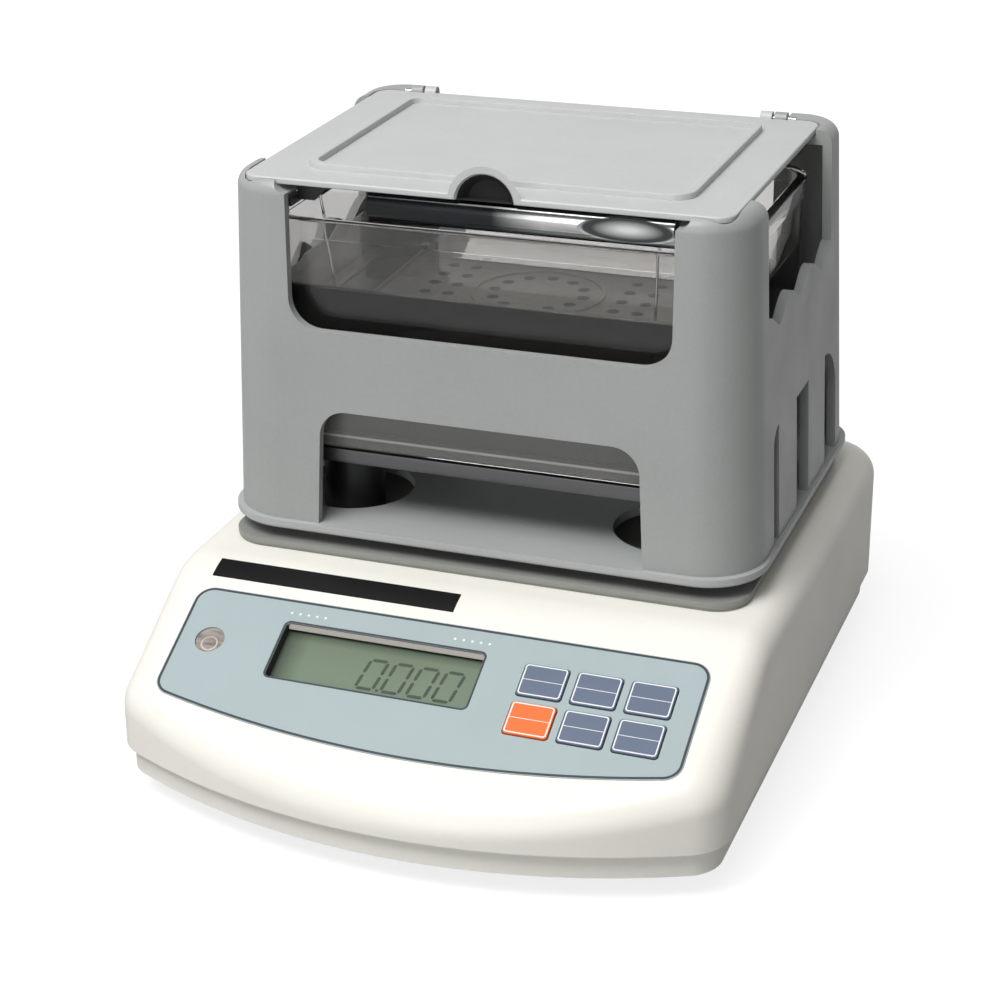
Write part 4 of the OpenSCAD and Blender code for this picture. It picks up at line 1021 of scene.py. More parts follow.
class NodeTool:
    """Geometry Nodes with named inputs, which are baked into a body."""

    def __init__(self, name: str, source: str, **inputs: str) -> None:
        """Start the tree with its inputs and its output.

        Args:
            name: Name of the tree.
            source: Name of the input that takes the mesh it works on.
            inputs: Kind of each other input.
        """
        self.tree = bpy.data.node_groups.new(name, "GeometryNodeTree")
        face = self.tree.interface
        kinds = {source: "Geometry", **inputs, "Material": "Material"}
        self.sockets = {key: face.new_socket(key, in_out="INPUT", socket_type=f"NodeSocket{kind}")
                        for key, kind in kinds.items()}
        face.new_socket("Result", in_out="OUTPUT", socket_type="NodeSocketGeometry")
        self.inputs = self.node("GroupInput", "Node").outputs

    def node(self, kind: str, family: str = "GeometryNode", **links: Socket) -> bpy.types.Node:
        """Add a node.

        Args:
            kind: Its type, without the family's name.
            family: What its type's name starts with.
            links: Socket that feeds each input, with the spaces of its name left out.

        Returns:
            The node.
        """
        node = self.tree.nodes.new(family + kind)
        for socket in node.inputs:
            if socket.name.replace(" ", "") in links:
                self.tree.links.new(links[socket.name.replace(" ", "")], socket)
        return node

    def finish(self, shape: Socket) -> None:
        """Realize, dress and give out what the tree makes.

        Args:
            shape: The shape it makes.
        """
        real = self.node("RealizeInstances", Geometry=shape)
        dress = self.node("SetMaterial", Geometry=real.outputs[0], Material=self.inputs["Material"])
        self.node("GroupOutput", "Node", Result=dress.outputs[0])

    def run(self, verts: Sequence[Point3], edges: Sequence[tuple[int, int]], finish: Finish,
            **values: float) -> Solid:
        """Work on a mesh of points and edges.

        Args:
            verts: The points.
            edges: The edges.
            finish: Finish of the result.
            values: What each other input gets.

        Returns:
            The result as one body.
        """
        mesh = bpy.data.meshes.new("points")
        mesh.from_pydata(verts, edges, [])
        body = Solid(mesh)
        step = body.obj.modifiers.new("nodes", "NODES")
        step.node_group = self.tree
        for name, value in (*values.items(), ("Material", finish.material())):
            step[self.sockets[name].identifier] = value
        return body.bake()


class Repeater(NodeTool):
    """Geometry Nodes that set a round peg on every point of a mesh."""

    def __init__(self) -> None:
        """Build the tree with its named inputs."""
        super().__init__("pegs_on_points", "Points", Radius="Float", Height="Float", Sides="Int")
        give = self.inputs
        peg = self.node("MeshCylinder", Radius=give["Radius"], Depth=give["Height"],
                        Vertices=give["Sides"])
        self.finish(self.node("InstanceOnPoints", Points=give["Points"],
                              Instance=peg.outputs["Mesh"]).outputs[0])

    def pegs(self, points: Sequence[Point3], r: float, height: float, finish: Finish,
             sides: int = 16) -> Solid:
        """Set round pegs on points, as one body."""
        return self.run(points, [], finish, Radius=r, Height=height, Sides=sides)


class Tubes(NodeTool):
    """Geometry Nodes that draw a round wire along a chain of points."""

    def __init__(self) -> None:
        """Build the tree with its named inputs."""
        super().__init__("wire_along_path", "Path", Radius="Float", Sides="Int")
        path = self.node("MeshToCurve", Mesh=self.inputs["Path"])
        ring = self.node("CurvePrimitiveCircle", Radius=self.inputs["Radius"],
                         Resolution=self.inputs["Sides"])
        sweep = self.node("CurveToMesh", Curve=path.outputs["Curve"],
                          ProfileCurve=ring.outputs["Curve"])
        sweep.inputs["Fill Caps"].default_value = True
        self.finish(sweep.outputs["Mesh"])

    def wires(self, paths: Sequence[Sequence[Point3]], r: float, finish: Finish,
              sides: int = 12) -> Solid:
        """Draw wires.

        Args:
            paths: Chains of points.
            r: Radius of the wire.
            finish: Finish of the wire.
            sides: Sides of the wire.

        Returns:
            All wires as one body.
        """
        verts: list[Point3] = []
        edges: list[tuple[int, int]] = []
        for chain in paths:
            first = len(verts)
            verts += chain
            edges += [(first + i, first + i + 1) for i in range(len(chain) - 1)]
        return self.run(verts, edges, finish, Radius=r, Sides=sides)


REPEATER = Repeater()
TUBES = Tubes()


def dress_copy(node: str, name: str, finish: Finish, width: float, angle: float = 50,
               body: str = "base") -> None:
    """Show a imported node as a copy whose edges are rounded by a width."""
    Solid.of_node(node).bevelled(width, angle=angle).place(name, body, finish, [node])


@dataclass
class Housing:
    """Moulded shells of the balance, with the sloped front and the rear recess."""

    half_w: float = 97.5
    front: float = -121
    rear: float = 121
    bow_r: float = 202
    front_r: float = 15
    rear_r: float = 18
    edge_r: float = 9
    nose_r: float = 12
    wall: float = 3
    seam: float = 16.5
    bow_steps: int = 40
    corner_steps: int = 14
    round_steps: int = 10
    recess_half: Point = (76, 14)
    recess_y: float = 117.5
    recess_pad: float = 5.5
    recess_skin: Point = (3, 2)
    rear_z: float = 35
    rear_wall: Point = (108, 119)
    rocker: Point3 = (55, 7.2, 10.2)
    port: Point3 = (0, 9.2, 5.6)
    inlet: Point = (-50, 5.1)
    spigot_r: float = 8
    display: tuple[float, float, float] = (70.7, 25.7, 2)
    level_r: float = 6.5
    hole_span: Point = (-9, 6)
    strip_groove: tuple[float, ...] = (33, 29.7, 11.5, 27, -82.1, 0.1)

    def slope_z(self, y: float) -> float:
        """Give the height of the control slope at a place lengthways."""
        return TOP_Z - (CREASE_Y - y) * math.tan(PANEL_TILT)

    def stations(self) -> list[tuple[Vector, Vector, Vector, float]]:
        """Walk along the right half of the rounded edge, from the bow's middle to the rear.

        Returns:
            The rounding's middle, its side and top directions and its radius, at each place.
        """
        tilted = Vector((0, -math.sin(PANEL_TILT), math.cos(PANEL_TILT)))
        cy = self.front + self.bow_r
        cx = self.half_w - self.front_r
        fy = cy - math.sqrt((self.bow_r - self.front_r) ** 2 - cx ** 2)
        lean = math.asin(cx / (self.bow_r - self.front_r))
        found = []

        def add(middle: Point, a: float, inner_r: float) -> None:
            """Add one place of the bow or of the front corner.

            Args:
                middle: Centre of its arc.
                a: Angle on the arc.
                inner_r: Radius of the arc of middles.
            """
            side = Vector((math.cos(a), math.sin(a), 0))
            y = middle[1] + inner_r * side.y
            z = self.slope_z(y) - self.nose_r / math.cos(PANEL_TILT)
            place = Vector((middle[0] + inner_r * side.x, y, z))
            found.append((place, side, tilted, self.nose_r))
        for i in range(self.bow_steps + 1):
            add((0, cy), -math.pi / 2 + lean * i / self.bow_steps, self.bow_r - self.nose_r)
        for i in range(1, self.corner_steps + 1):
            a = -math.pi / 2 + lean + (math.pi / 2 - lean) * i / self.corner_steps
            add((cx, fy), a, self.front_r - self.nose_r)
        crease = Vector((self.half_w - self.edge_r,
                         CREASE_Y + CREASE_R * math.tan(PANEL_TILT / 2), TOP_Z - CREASE_R))
        for i in range(self.corner_steps + 1):
            t = PANEL_TILT * (1 - i / self.corner_steps)
            up = Vector((0, -math.sin(t), math.cos(t)))
            found.append((crease + (CREASE_R - self.edge_r) * up, Vector((1, 0, 0)), up,
                          self.edge_r))
        corner = Vector((self.half_w - self.rear_r, self.rear - self.rear_r, TOP_Z - self.edge_r))
        for i in range(self.corner_steps + 1):
            a = math.pi / 2 * i / self.corner_steps
            side = Vector((math.cos(a), math.sin(a), 0))
            middle = corner + side * (self.rear_r - self.edge_r)
            found.append((middle, side, Vector((0, 0, 1)), self.edge_r))
        return found

    def form(self, inset: float, floor_z: float) -> Solid:
        """Make the closed form of the upper shell.

        Args:
            inset: How far it is moved in.
            floor_z: Height of its open underside.

        Returns:
            The form.
        """
        right = self.stations()
        flip = Vector((-1, 1, 1))
        left = [(m * flip, s * flip, u * flip, r) for m, s, u, r in reversed(right[1:])]
        around = right + left
        n = len(around)
        foot = (middle + side * (r - inset) for middle, side, _, r in around)
        verts = [(p.x, p.y, floor_z) for p in foot]
        for k in range(self.round_steps + 1):
            verts += [tuple(middle + slerp(side, up, k / self.round_steps) * (r - inset))
                      for middle, side, up, r in around]
        faces = [tuple(range(n))]
        for a in range(0, (self.round_steps + 1) * n, n):
            faces += [(a + i, a + (i + 1) % n, a + n + (i + 1) % n, a + n + i) for i in range(n)]
        top = (self.round_steps + 1) * n
        slope_end = self.bow_steps + self.corner_steps + 1
        flat = slope_end + self.corner_steps
        faces.append([*range(top, top + slope_end + 1), *range(top + n - slope_end, top + n)])
        faces += [(top + i, top + i + 1, top + n - i - 1, top + n - i)
                  for i in range(slope_end, flat)]
        faces.append(range(top + flat, top + n - flat + 1))
        return Solid.of_faces(verts, faces)

    def rear_window(self, x: float, half_x: float, half_z: float) -> Solid:
        """Make the tool for an opening in the rear panel."""
        return box(x - half_x, x + half_x, *self.rear_wall,
                   self.rear_z - half_z, self.rear_z + half_z)

    def build(self) -> None:
        """Build and dress both shells."""
        inner = self.form(self.wall, self.seam - 1)
        half, tall = self.recess_half
        beside, above = half + self.recess_skin[0], tall + self.recess_skin[1]
        inner.cut(box(-beside, beside, self.recess_y - self.recess_pad, self.rear,
                      self.rear_z - above, self.rear_z + above))
        x, s, _, _ = Panel.lcd
        w, h, r = self.display
        holes = [Solid.prism(Panel.outline(0.1), -0.3, 8)]
        windows = [rounded(*Panel.KEY_WINDOW, 1.2, 6, kx, -ks) for kx, ks in Panel.KEYS.values()]
        windows.append(rounded(w, h, r, 6, x, -s))
        holes += [Solid.prism(window, *self.hole_span) for window in windows]
        holes.append(disc(Panel.vial[0], -Panel.vial[1], self.level_r, *self.hole_span))
        inlet_x, inlet_r = self.inlet
        shell = self.form(0, self.seam).cut(inner, *(hole.moved(ON_SLOPE) for hole in holes))
        shell.cut(disc(0, FRAME_Y, self.spigot_r, 50, 70),
                  box(-half, half, self.recess_y, 130, self.rear_z - tall, self.rear_z + tall),
                  self.rear_window(*self.rocker), self.rear_window(*self.port),
                  disc(inlet_x, self.rear_z, inlet_r, *self.rear_wall).moved(ALONG_Y),
                  strip_band(*self.strip_groove))
        shell.bevelled(0.3, 2, 40)
        shell.place("upper_shell_moulding", "base", Finishes.cream, ["upper_shell"], sharp=50)
        dress_copy("lower_shell", "lower_shell_moulding", Finishes.cream_lower_painted_light, 0.5)


def strip_band(outer_r: float, inner_r: float, start: float, end: float,
               x0: float, x1: float) -> Solid:
    """Make a band that follows the crease.

    Args:
        outer_r: Its outer radius.
        inner_r: Its inner radius.
        start: Its upper end, in degrees off upright.
        end: Its lower end, in degrees off upright.
        x0: Its left end.
        x1: Its right end.

    Returns:
        The band.
    """
    cy = CREASE_Y + CREASE_R * math.tan(PANEL_TILT / 2)
    middle = (cy, TOP_Z - CREASE_R)
    profile = (arc(*middle, outer_r, 90 + start, 90 + end, 12)
               + arc(*middle, inner_r, 90 + end, 90 + start, 12))
    return Solid.prism(profile, x0, x1).moved(ALONG_X)


@dataclass
class Panel:
    """Control slope with its printed overlay, display window, bubble level and keys."""

    KEY_WINDOW = (14.5, 12.2)
    KEYS = {f"key_{line}_{place}": (52.2 + col * 16.7, 23 + row * 7)
            for col, place in ((-1, "left"), (0, "middle"), (1, "right"))
            for row, line in ((-1, "rear"), (1, "front"))}
    ORANGE = "key_front_left"
    SHEET = (84.0, 50.7, 372.0, 6.0)

    outline_ink: float = 0.8
    key_cap: Point = (13.9, 11.6)
    key_top: float = 0.9
    key_foot: float = -4.4
    lcd: tuple[float, float, float, float] = (-17.75, 19.25, 65.5, 20.5)
    vial: tuple[float, float, float] = (-73, 19.9, 4.8)
    ink_t: float = 0.03
    sheet_top: float = 0.2
    dot_rows: tuple[Point, Point] = ((-50.4, 2.85), (4.0, 2.8))
    dot_y: float = -5.2
    dot_r: float = 0.42
    digit: Point = (5.7, 10.8)
    digit_pitch: float = 8.3
    digit_t: float = 1.1
    digit_slant: float = 0.17
    digit_gap: float = 0.28
    reading: Point3 = (-22.2, -26.5, -2.81)
    strip: tuple[float, ...] = (30.2, 29.72, 11.7, 26.8, -82, 0)
    liquid_place: Point3 = (-73, -77.36, 40.75)
    bubble_off: Point = (0.2, -1.2)

    @staticmethod
    def outline(grow: float, steps: int = 40) -> list[Point]:
        """Give the overlay's outline on the slope.

        Args:
            grow: How far it is grown.
            steps: Stretches of its bow.

        Returns:
            The outline, anticlockwise.
        """
        half, length, bow, r = Panel.SHEET
        cy = bow - length
        cx = half - r
        fy = cy - math.sqrt((bow - r) ** 2 - cx ** 2)
        lean = math.degrees(math.asin(cx / (bow - r)))
        corners = ((cx, fy, lean - 90, 0), (cx, -r, 0, 90), (-cx, -r, 90, 180),
                   (-cx, fy, 180, 270 - lean))
        front = arc(0, cy, bow + grow, 270 - lean, 270 + lean, steps)
        return front + [p for x, y, a, b in corners for p in arc(x, y, r + grow, a, b, 10)]

    def band(self, outer: list[Point], inner: list[Point], z: float) -> Solid:
        """Make a thin printed band between two outlines of equal length.

        Args:
            outer: Outer outline.
            inner: Inner outline.
            z: Height of the printed surface.

        Returns:
            The band.
        """
        return Solid.loft([at_height(outer, z), at_height(outer, z + self.ink_t),
                           at_height(inner, z + self.ink_t), at_height(inner, z)],
                          ring_shape=True)

    def display_outline(self, grow_w: float, grow_h: float, r: float) -> list[Point]:
        """Give the display's outline on the slope, grown by two amounts."""
        x, s, w, h = self.lcd
        return rounded(w + grow_w, h + grow_h, r, 6, x, -s)

    def build(self) -> None:
        """Build and dress the overlay, its print, the display, the level and the keys."""
        x, s, r = self.vial
        sheet = soft_plate(self.outline, -0.3, self.sheet_top, 0.12, 2)
        sheet.cut(Solid.prism(self.display_outline(0.3, 0.3, 1.6), -2, 2), disc(x, -s, r, -2, 2))
        for kx, ks in self.KEYS.values():
            sheet.cut(Solid.prism(rounded(*self.KEY_WINDOW, 1.3, 6, kx, -ks), -2, 2))
        sheet.moved(ON_SLOPE).place("overlay_sheet", "base", Finishes.overlay, ["control_overlay"])
        ink = self.band(self.outline(-0.25), self.outline(-0.25 - self.outline_ink), self.sheet_top)
        ink.beside(self.band(self.display_outline(1.6, 1.6, 2.2),
                             self.display_outline(0.35, 0.35, 1.6), self.sheet_top))
        ink.moved(ON_SLOPE).place("overlay_outline_print", "base", Finishes.overlay_ink,
                                  slot="overlay_blue")
        points = [(start + step * i, self.dot_y, self.sheet_top + self.ink_t / 2)
                  for start, step in self.dot_rows for i in range(5)]
        dots = REPEATER.pegs(points, self.dot_r, self.ink_t, Finishes.white_ink)
        dots.moved(ON_SLOPE).place("overlay_dots", "base", Finishes.white_ink, slot="overlay_blue")
        self.display()
        self.level()
        for node, place in self.KEYS.items():
            self.key(node, *place)
        strip = strip_band(*self.strip).bevelled(0.08, 1)
        strip.place("crease_strip", "base", Finishes.strip, ["label_strip"])

    def key(self, node: str, x: float, s: float) -> None:
        """Build one key with its printed frame and dividing line.

        Args:
            node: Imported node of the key.
            x: Its place sideways.
            s: Its place down the slope.
        """
        w, h = self.key_cap

        def outline(grow: float) -> list[Point]:
            """Give the cap's outline, grown by an amount."""
            return rounded(w + 2 * grow, h + 2 * grow, 1.1 + grow * 0.6, 6, x, -s)
        foot = self.key_foot
        cap = soft_plate(outline, foot, self.key_top, 0.35)
        cap.beside(Solid.prism(rounded(w + 1.5, h + 1.5, 1.2, 6, x, -s), foot, foot + 1))
        finish = Finishes.key_orange if node == self.ORANGE else Finishes.key
        cap.moved(ON_SLOPE).place(f"{node}_cap", node, finish, [node])
        lines = self.band(rounded(w - 0.75, h - 0.75, 1.0, 6, x, -s),
                          rounded(w - 1.55, h - 1.55, 0.65, 6, x, -s), self.key_top)
        half, half_t = (w - 1.6) / 2, 0.1
        lines.beside(box(x - half, x + half, -s - half_t, -s + half_t,
                         self.key_top, self.key_top + self.ink_t))
        lines.moved(ON_SLOPE).place(f"{node}_print", node, Finishes.white_ink, slot="key_grey")

    def display(self) -> None:
        """Build the window frame, the glass and its digits."""
        x, s, w, h = self.lcd
        foot, head = -2.8, -0.32
        around = self.display_outline(5, 5, 2)
        rings = [at_height(around, foot), at_height(around, head),
                 at_height(self.display_outline(0.2, 0.2, 1.4), head),
                 at_height(self.display_outline(-0.6, -0.6, 1.2), foot)]
        # The window frame's dark colour paints the shade on its walls.
        Solid.loft(rings, ring_shape=True).moved(ON_SLOPE).place(
            "display_window_frame", "base", Finishes.bezel, ["lcd_bezel"])
        edge = h / 2 - s
        profile = [(edge + 0.05, -0.34), (edge - 1.1, -1.5), (edge - 1.1, -1.7),
                   (edge + 0.05, -1.7)]
        wedge = Solid.prism(profile, x - w / 2 + 0.5, x + w / 2 - 0.1).moved(ALONG_X)
        # The pale chamfer paints the light on the window's top wall.
        wedge.moved(ON_SLOPE).place("display_window_chamfer", "base", Finishes.bezel_painted_light,
                                    slot="bezel_pale")
        glass = soft_plate(lambda g: rounded(w + 4 + 2 * g, h + 4 + 2 * g, 0.8, 4, x, -s),
                           -5.0, -2.82, 0.2, 2)
        glass.beside(box(x - w / 2 - 1, x + w / 2 + 1, -s - h / 2 - 1, -s + h / 2 + 1, -12.4, -5.0))
        glass.moved(ON_SLOPE).place("display_glass", "base", Finishes.lcd, ["lcd_module"])
        self.digits().moved(ON_SLOPE).place("display_digits", "base", Finishes.lcd_ink,
                                            slot="lcd_green")

    def segment(self, a: Point, b: Point) -> list[Point]:
        """Give the outline of one pointed segment.

        Args:
            a: Its first end.
            b: Its second end.

        Returns:
            The outline.
        """
        length = math.hypot(b[0] - a[0], b[1] - a[1])
        ux, uy = (b[0] - a[0]) / length, (b[1] - a[1]) / length
        half = self.digit_t / 2
        (px, py), (qx, qy) = ((x + sign * ux * self.digit_gap, y + sign * uy * self.digit_gap)
                              for (x, y), sign in ((a, 1), (b, -1)))
        return [(px, py), (px + ux * half - uy * half, py + uy * half + ux * half),
                (qx - ux * half - uy * half, qy - uy * half + ux * half), (qx, qy),
                (qx - ux * half + uy * half, qy - uy * half - ux * half),
                (px + ux * half + uy * half, py + uy * half - ux * half)]

    def digits(self) -> Solid:
        """Make a zero reading with three decimals out of slanted segments.

        Returns:
            The reading.
        """
        w, h = self.digit
        quads = []
        for x0 in (k * self.digit_pitch for k in range(4)):
            ring = [(x0, 0), (x0 + w, 0), (x0 + w, h / 2), (x0 + w, h), (x0, h), (x0, h / 2)]
            quads += [self.segment(a, b) for a, b in zip(ring, ring[1:] + ring[:1])]
        quads.append([(w + 1.0, -0.4), (w + 1.9, -0.4), (w + 1.9, 0.5), (w + 1.0, 0.5)])
        x, y, z = self.reading
        first, *others = (
            Solid.prism([(x + px + py * self.digit_slant, y + py) for px, py in quad],
                        z, z + self.ink_t) for quad in quads)
        return first.beside(*others)

    def level(self) -> None:
        """Build the bubble level in its holder."""
        holder = Solid.of_node("level_holder").bevelled(0.15, 1)
        holder.place("level_cup", "base", Finishes.holder, ["level_holder"])
        drop = Solid.lathe([(0, -4.0), (5.0, -4.0), (5.2, -3.8), (5.2, -0.5), (5.05, -0.25),
                            (3.6, -0.2), (0, -0.2)])
        drop.shifted(*self.liquid_place).place(
            "level_liquid_cell", "base", Finishes.level, ["level_vial"])
        x, s, _ = self.vial
        window = Solid.lathe([(0, -2.2), (6.1, -2.2), (6.3, -2.0), (6.3, -0.36), (4.7, -0.36),
                              (4.3, -0.3), (2.2, -0.2), (0, -0.17)])
        window.shifted(x, -s).moved(ON_SLOPE).place(
            "level_window", "base", Finishes.level, slot="vial_liquid")
        bubble = Solid.lathe([(2.2, -0.24), (2.5, -0.14), (2.8, -0.24), (2.5, -0.34)],
                             48, ring_shape=True)
        off_x, off_y = self.bubble_off
        bubble.shifted(x + off_x, off_y - s).moved(ON_SLOPE).place(
            "level_bubble_ring", "base", Finishes.bubble, slot="vial_liquid")


@dataclass(frozen=True)
class FramePlan:
    """Outer plan of the weighing frame at one height, from the middle of the tank."""

    half: float
    front: float
    rear: float
    front_r: float
    rear_r: float

    def ring(self, inset: float, z: float) -> list[Point3]:
        """Give the level ring, moved in."""
        reaches = (self.half, self.front, self.rear, self.front_r, self.rear_r)
        return at_height(uneven(*(reach - inset for reach in reaches), 16), z)


@dataclass
class WeighingFrame:
    """Moulded frame with tapered columns, windows, wavy edges and slots, on its base plate."""

    foot: FramePlan = FramePlan(87.75, 61.25, 74.25, 20, 14)
    head: FramePlan = FramePlan(83.3, 60.2, 69.7, 17, 14)
    z0: float = 72
    z1: float = 184
    wall: float = 3
    cap: float = 5
    round_r: float = 5
    window_half: float = 61.5
    window_r: float = 10
    flare: float = 4.2
    sill: float = 137
    low_half: Point = (54, 52.4)
    low_r: float = 9
    low_h: float = 39
    wave_y: float = 4.4
    wave_z: float = 72.8
    wave_amp: float = 3
    wave_pitch: float = 28
    wave_steps: int = 144
    wave_power: float = 1.4
    slots_y: float = 6.5
    slot_from: float = 31.7
    slot_h: float = 38.5
    middle_slot: float = 8.25
    side_slots: Point = (6.6, 16.6)
    pocket: Point3 = (155.8, 114.8, 5.9)
    pocket_t: float = 2.2
    lug: Point = (61.8, 65.8)
    screws: tuple[Point, Point] = ((77.72, -51.22), (79.48, 65.98))
    boss_r: float = 3.7
    screw_r: float = 1.5

    def window(self, right: list[Point]) -> Solid:
        """Make the tool for a front and rear window from the right half of its outline."""
        left = [(-x, z) for x, z in reversed(right)]
        return Solid.prism(right + left, *THROUGH).moved(ALONG_Y)

    def windows(self) -> list[Solid]:
        """Make the tools for the upper and the lower windows.

        Returns:
            The tools.
        """
        w, r, flare = self.window_half, self.window_r, self.flare
        upper = (arc(w - r, self.sill + r, r, -90, 0, 10) + arc(w, self.z1, flare, -90, 0, 10)
                 + [(w + flare, FAR)])
        foot, half = self.low_half
        r, top = self.low_r, self.z0 + self.low_h
        lower = [(foot, self.z0 - 3)] + arc(half - r, top - r, r, 0, 90, 10)
        return [self.window(upper), self.window(lower)]

    def wave(self, y: float) -> float:
        """Give the height of the wavy side edge, with round crests and narrow troughs."""
        share = abs(math.sin(math.pi * y / self.wave_pitch)) ** self.wave_power
        return self.z0 + self.wave_z + self.wave_amp * (2 * share - 1)

    def side_cuts(self) -> list[Solid]:
        """Make the tools for the wavy side openings and the slots under them.

        Returns:
            The tools.
        """
        half, n = 1.5 * self.wave_pitch, self.wave_steps
        steps = (-half + 2 * half * i / n for i in range(n + 1))
        edge = [(self.wave_y + y, self.wave(y)) for y in steps]
        low, high, m = self.z0 - 3, self.z0 + self.slot_h, self.middle_slot
        outlines = [edge + [(self.wave_y + half, FAR), (self.wave_y - half, FAR)],
                    [(self.slots_y + y, z)
                     for y, z in ((-m, low), (m, low), (m, high), (-m, high))]]
        for side, w in zip(SIDES, self.side_slots):
            slot = ([(self.slot_from, low), (self.slot_from + w, low)]
                    + arc(self.slot_from, high - w, w, 0, 90, 10))
            outlines.append([(self.slots_y + side * y, z) for y, z in slot])
        return [Solid.prism(outline, *THROUGH).moved(ALONG_X) for outline in outlines]

    def build(self) -> None:
        """Build and dress the moulding, its base and its ledges."""
        rings = [self.foot.ring(0, self.z0), self.head.ring(0, self.z1 - self.round_r)]
        for i in range(1, 11):
            inward, left = quarter(i, 10)
            rings.append(self.head.ring(self.round_r * inward, self.z1 - self.round_r * left))
        inner = [self.foot.ring(self.wall, self.z0 - 1),
                 self.head.ring(self.wall, self.z1 - self.cap)]
        w, d, r = self.pocket
        body = Solid.loft(rings)
        body.cut(Solid.loft(inner), *self.windows(), *self.side_cuts(),
                 Solid.prism(rounded(w, d, r, 8), self.z1 - self.pocket_t, FAR))
        for side in SIDES:
            body.join(knuckle(KNUCKLE_R, *sorted(side * x for x in self.lug)))
            for x, y in self.screws:
                body.join(disc(side * x, y, self.boss_r, self.z0, self.z0 + 11, 32))
                body.cut(disc(side * x, y, self.screw_r, self.z0 - 1, self.z0 + 10, 24))
        body.bevelled(0.7, 3, 40)
        body.moved(IN_FRAME).place("weighing_frame_moulding", "frame", Finishes.grey,
                                   ["weighing_frame"], sharp=50)
        dress_copy("frame_base", "frame_base_plate", Finishes.grey_base, 0.35, body="frame")
        dress_copy("hanger_ledges", "hanger_ledge_mouldings", Finishes.grey, 0.2, body="frame")


@dataclass
class Lid:
    """Hinged lid with a raised rim, a thumb arch and knuckles."""

    w: float = 155
    d: float = 114
    r: float = 5.5
    z0: float = 182
    z1: float = 184
    rim: Point3 = (62, 45, 7)
    rim_t: float = 3
    rim_z: Point = (183.5, 186)
    rim_steps: tuple[Point, ...] = ((0, 0.5), (0.15, 0.15), (0.5, 0))
    arch_r: float = 11.75
    arch_wall: float = 2.1
    arch_len: float = 14
    arch_x: float = 2
    arch_z: float = 181.2
    arch_half: float = 13
    # Thickness of the dark liner that paints the shade inside the arch.
    liner_t: float = 0.25
    web_y: Point = (-52.6, -52.1)
    knuckles: Point = (57, 60.9)
    relief: Point = (60.9, 66.3)
    relief_r: float = 2.6
    pin_hole: Point = (56, 62)
    pin_r: float = 0.85

    def cone(self, r: float, before: float) -> Solid:
        """Make the tapered round form of the thumb arch, lying lengthways.

        Args:
            r: Its radius at the lid's front edge.
            before: How far it reaches beyond that edge.

        Returns:
            The form.
        """
        slope = (self.arch_r - (self.z1 - self.arch_z)) / self.arch_len
        ends = [(r + slope * before, -before), (r - slope * self.arch_len, self.arch_len)]
        return Solid.lathe(ends, 96).moved(ALONG_Y).shifted(self.arch_x, -self.d / 2, self.arch_z)

    def around_arch(self, z0: float, z1: float = FAR, y0: float | None = None,
                    y1: float | None = None) -> Solid:
        """Make a block round the thumb arch, to cut or keep with.

        Args:
            z0: Its underside.
            z1: Its top.
            y0: Its front, where it isn't the lid's front edge.
            y1: Its back, where it isn't the arch's end.

        Returns:
            The block.
        """
        edge = -self.d / 2
        return box(self.arch_x - self.arch_half, self.arch_x + self.arch_half,
                   edge if y0 is None else y0, edge + self.arch_len if y1 is None else y1, z0, z1)

    def rim_rings(self) -> list[list[Point3]]:
        """Give the rings round the raised rim's section.

        Returns:
            The rings.
        """
        (x, y, r), (low, high) = self.rim, self.rim_z
        sizes = [(0, low), *((step, high - drop) for step, drop in self.rim_steps),
                 *((self.rim_t - step, high - drop) for step, drop in reversed(self.rim_steps)),
                 (self.rim_t, low)]
        return [at_height(rounded(2 * (x - d), 2 * (y - d), r - d, 10), z) for d, z in sizes]

    def build(self) -> None:
        """Build and dress the lid and the dark liner in its arch, which is painted shade."""
        def outline(grow: float) -> list[Point]:
            """Give the lid's outline, grown by an amount."""
            return rounded(self.w + 2 * grow, self.d + 2 * grow, self.r + grow, 12)
        plate = soft_plate(outline, self.z0, self.z1, 0.6, 4, 0.4)
        arch = self.cone(self.arch_r, 0).keep(self.around_arch(self.z0 + 0.5))
        plate.join(arch, Solid.loft(self.rim_rings(), ring_shape=True))
        for side in SIDES:
            plate.join(knuckle(KNUCKLE_R, *sorted(side * x for x in self.knuckles)))
        inner = self.arch_r - self.arch_wall
        plate.cut(self.cone(inner, 1))
        for side in SIDES:
            plate.cut(knuckle(self.relief_r, *sorted(side * x for x in self.relief)),
                      knuckle(self.pin_r, *sorted(side * x for x in self.pin_hole), 24))
        plate.bevelled(0.3, 2, 45)
        plate.moved(IN_FRAME).place("lid_moulding", "lid", Finishes.grey_lid_painted_light, ["lid"], sharp=31)
        # A thin dark liner inside the arch paints the shade there.
        shade_liner = self.cone(inner, -0.9).cut(self.cone(inner - self.liner_t, 1))
        shade_liner.keep(self.around_arch(self.z0 + 0.2))
        web, floor = (self.cone(inner - 0.02, 0) for _ in range(2))
        shade_liner.beside(web.keep(self.around_arch(self.z0 + 0.03, FAR, *self.web_y)))
        shade_liner.beside(floor.keep(self.around_arch(self.z0 + 0.03, self.z0 + 0.18,
                                                 0.7 - self.d / 2, self.web_y[0])))
        shade_liner.moved(IN_FRAME).place(
            "thumb_arch_shade_liner", "lid", Finishes.arch_inside, slot="lid_grey")


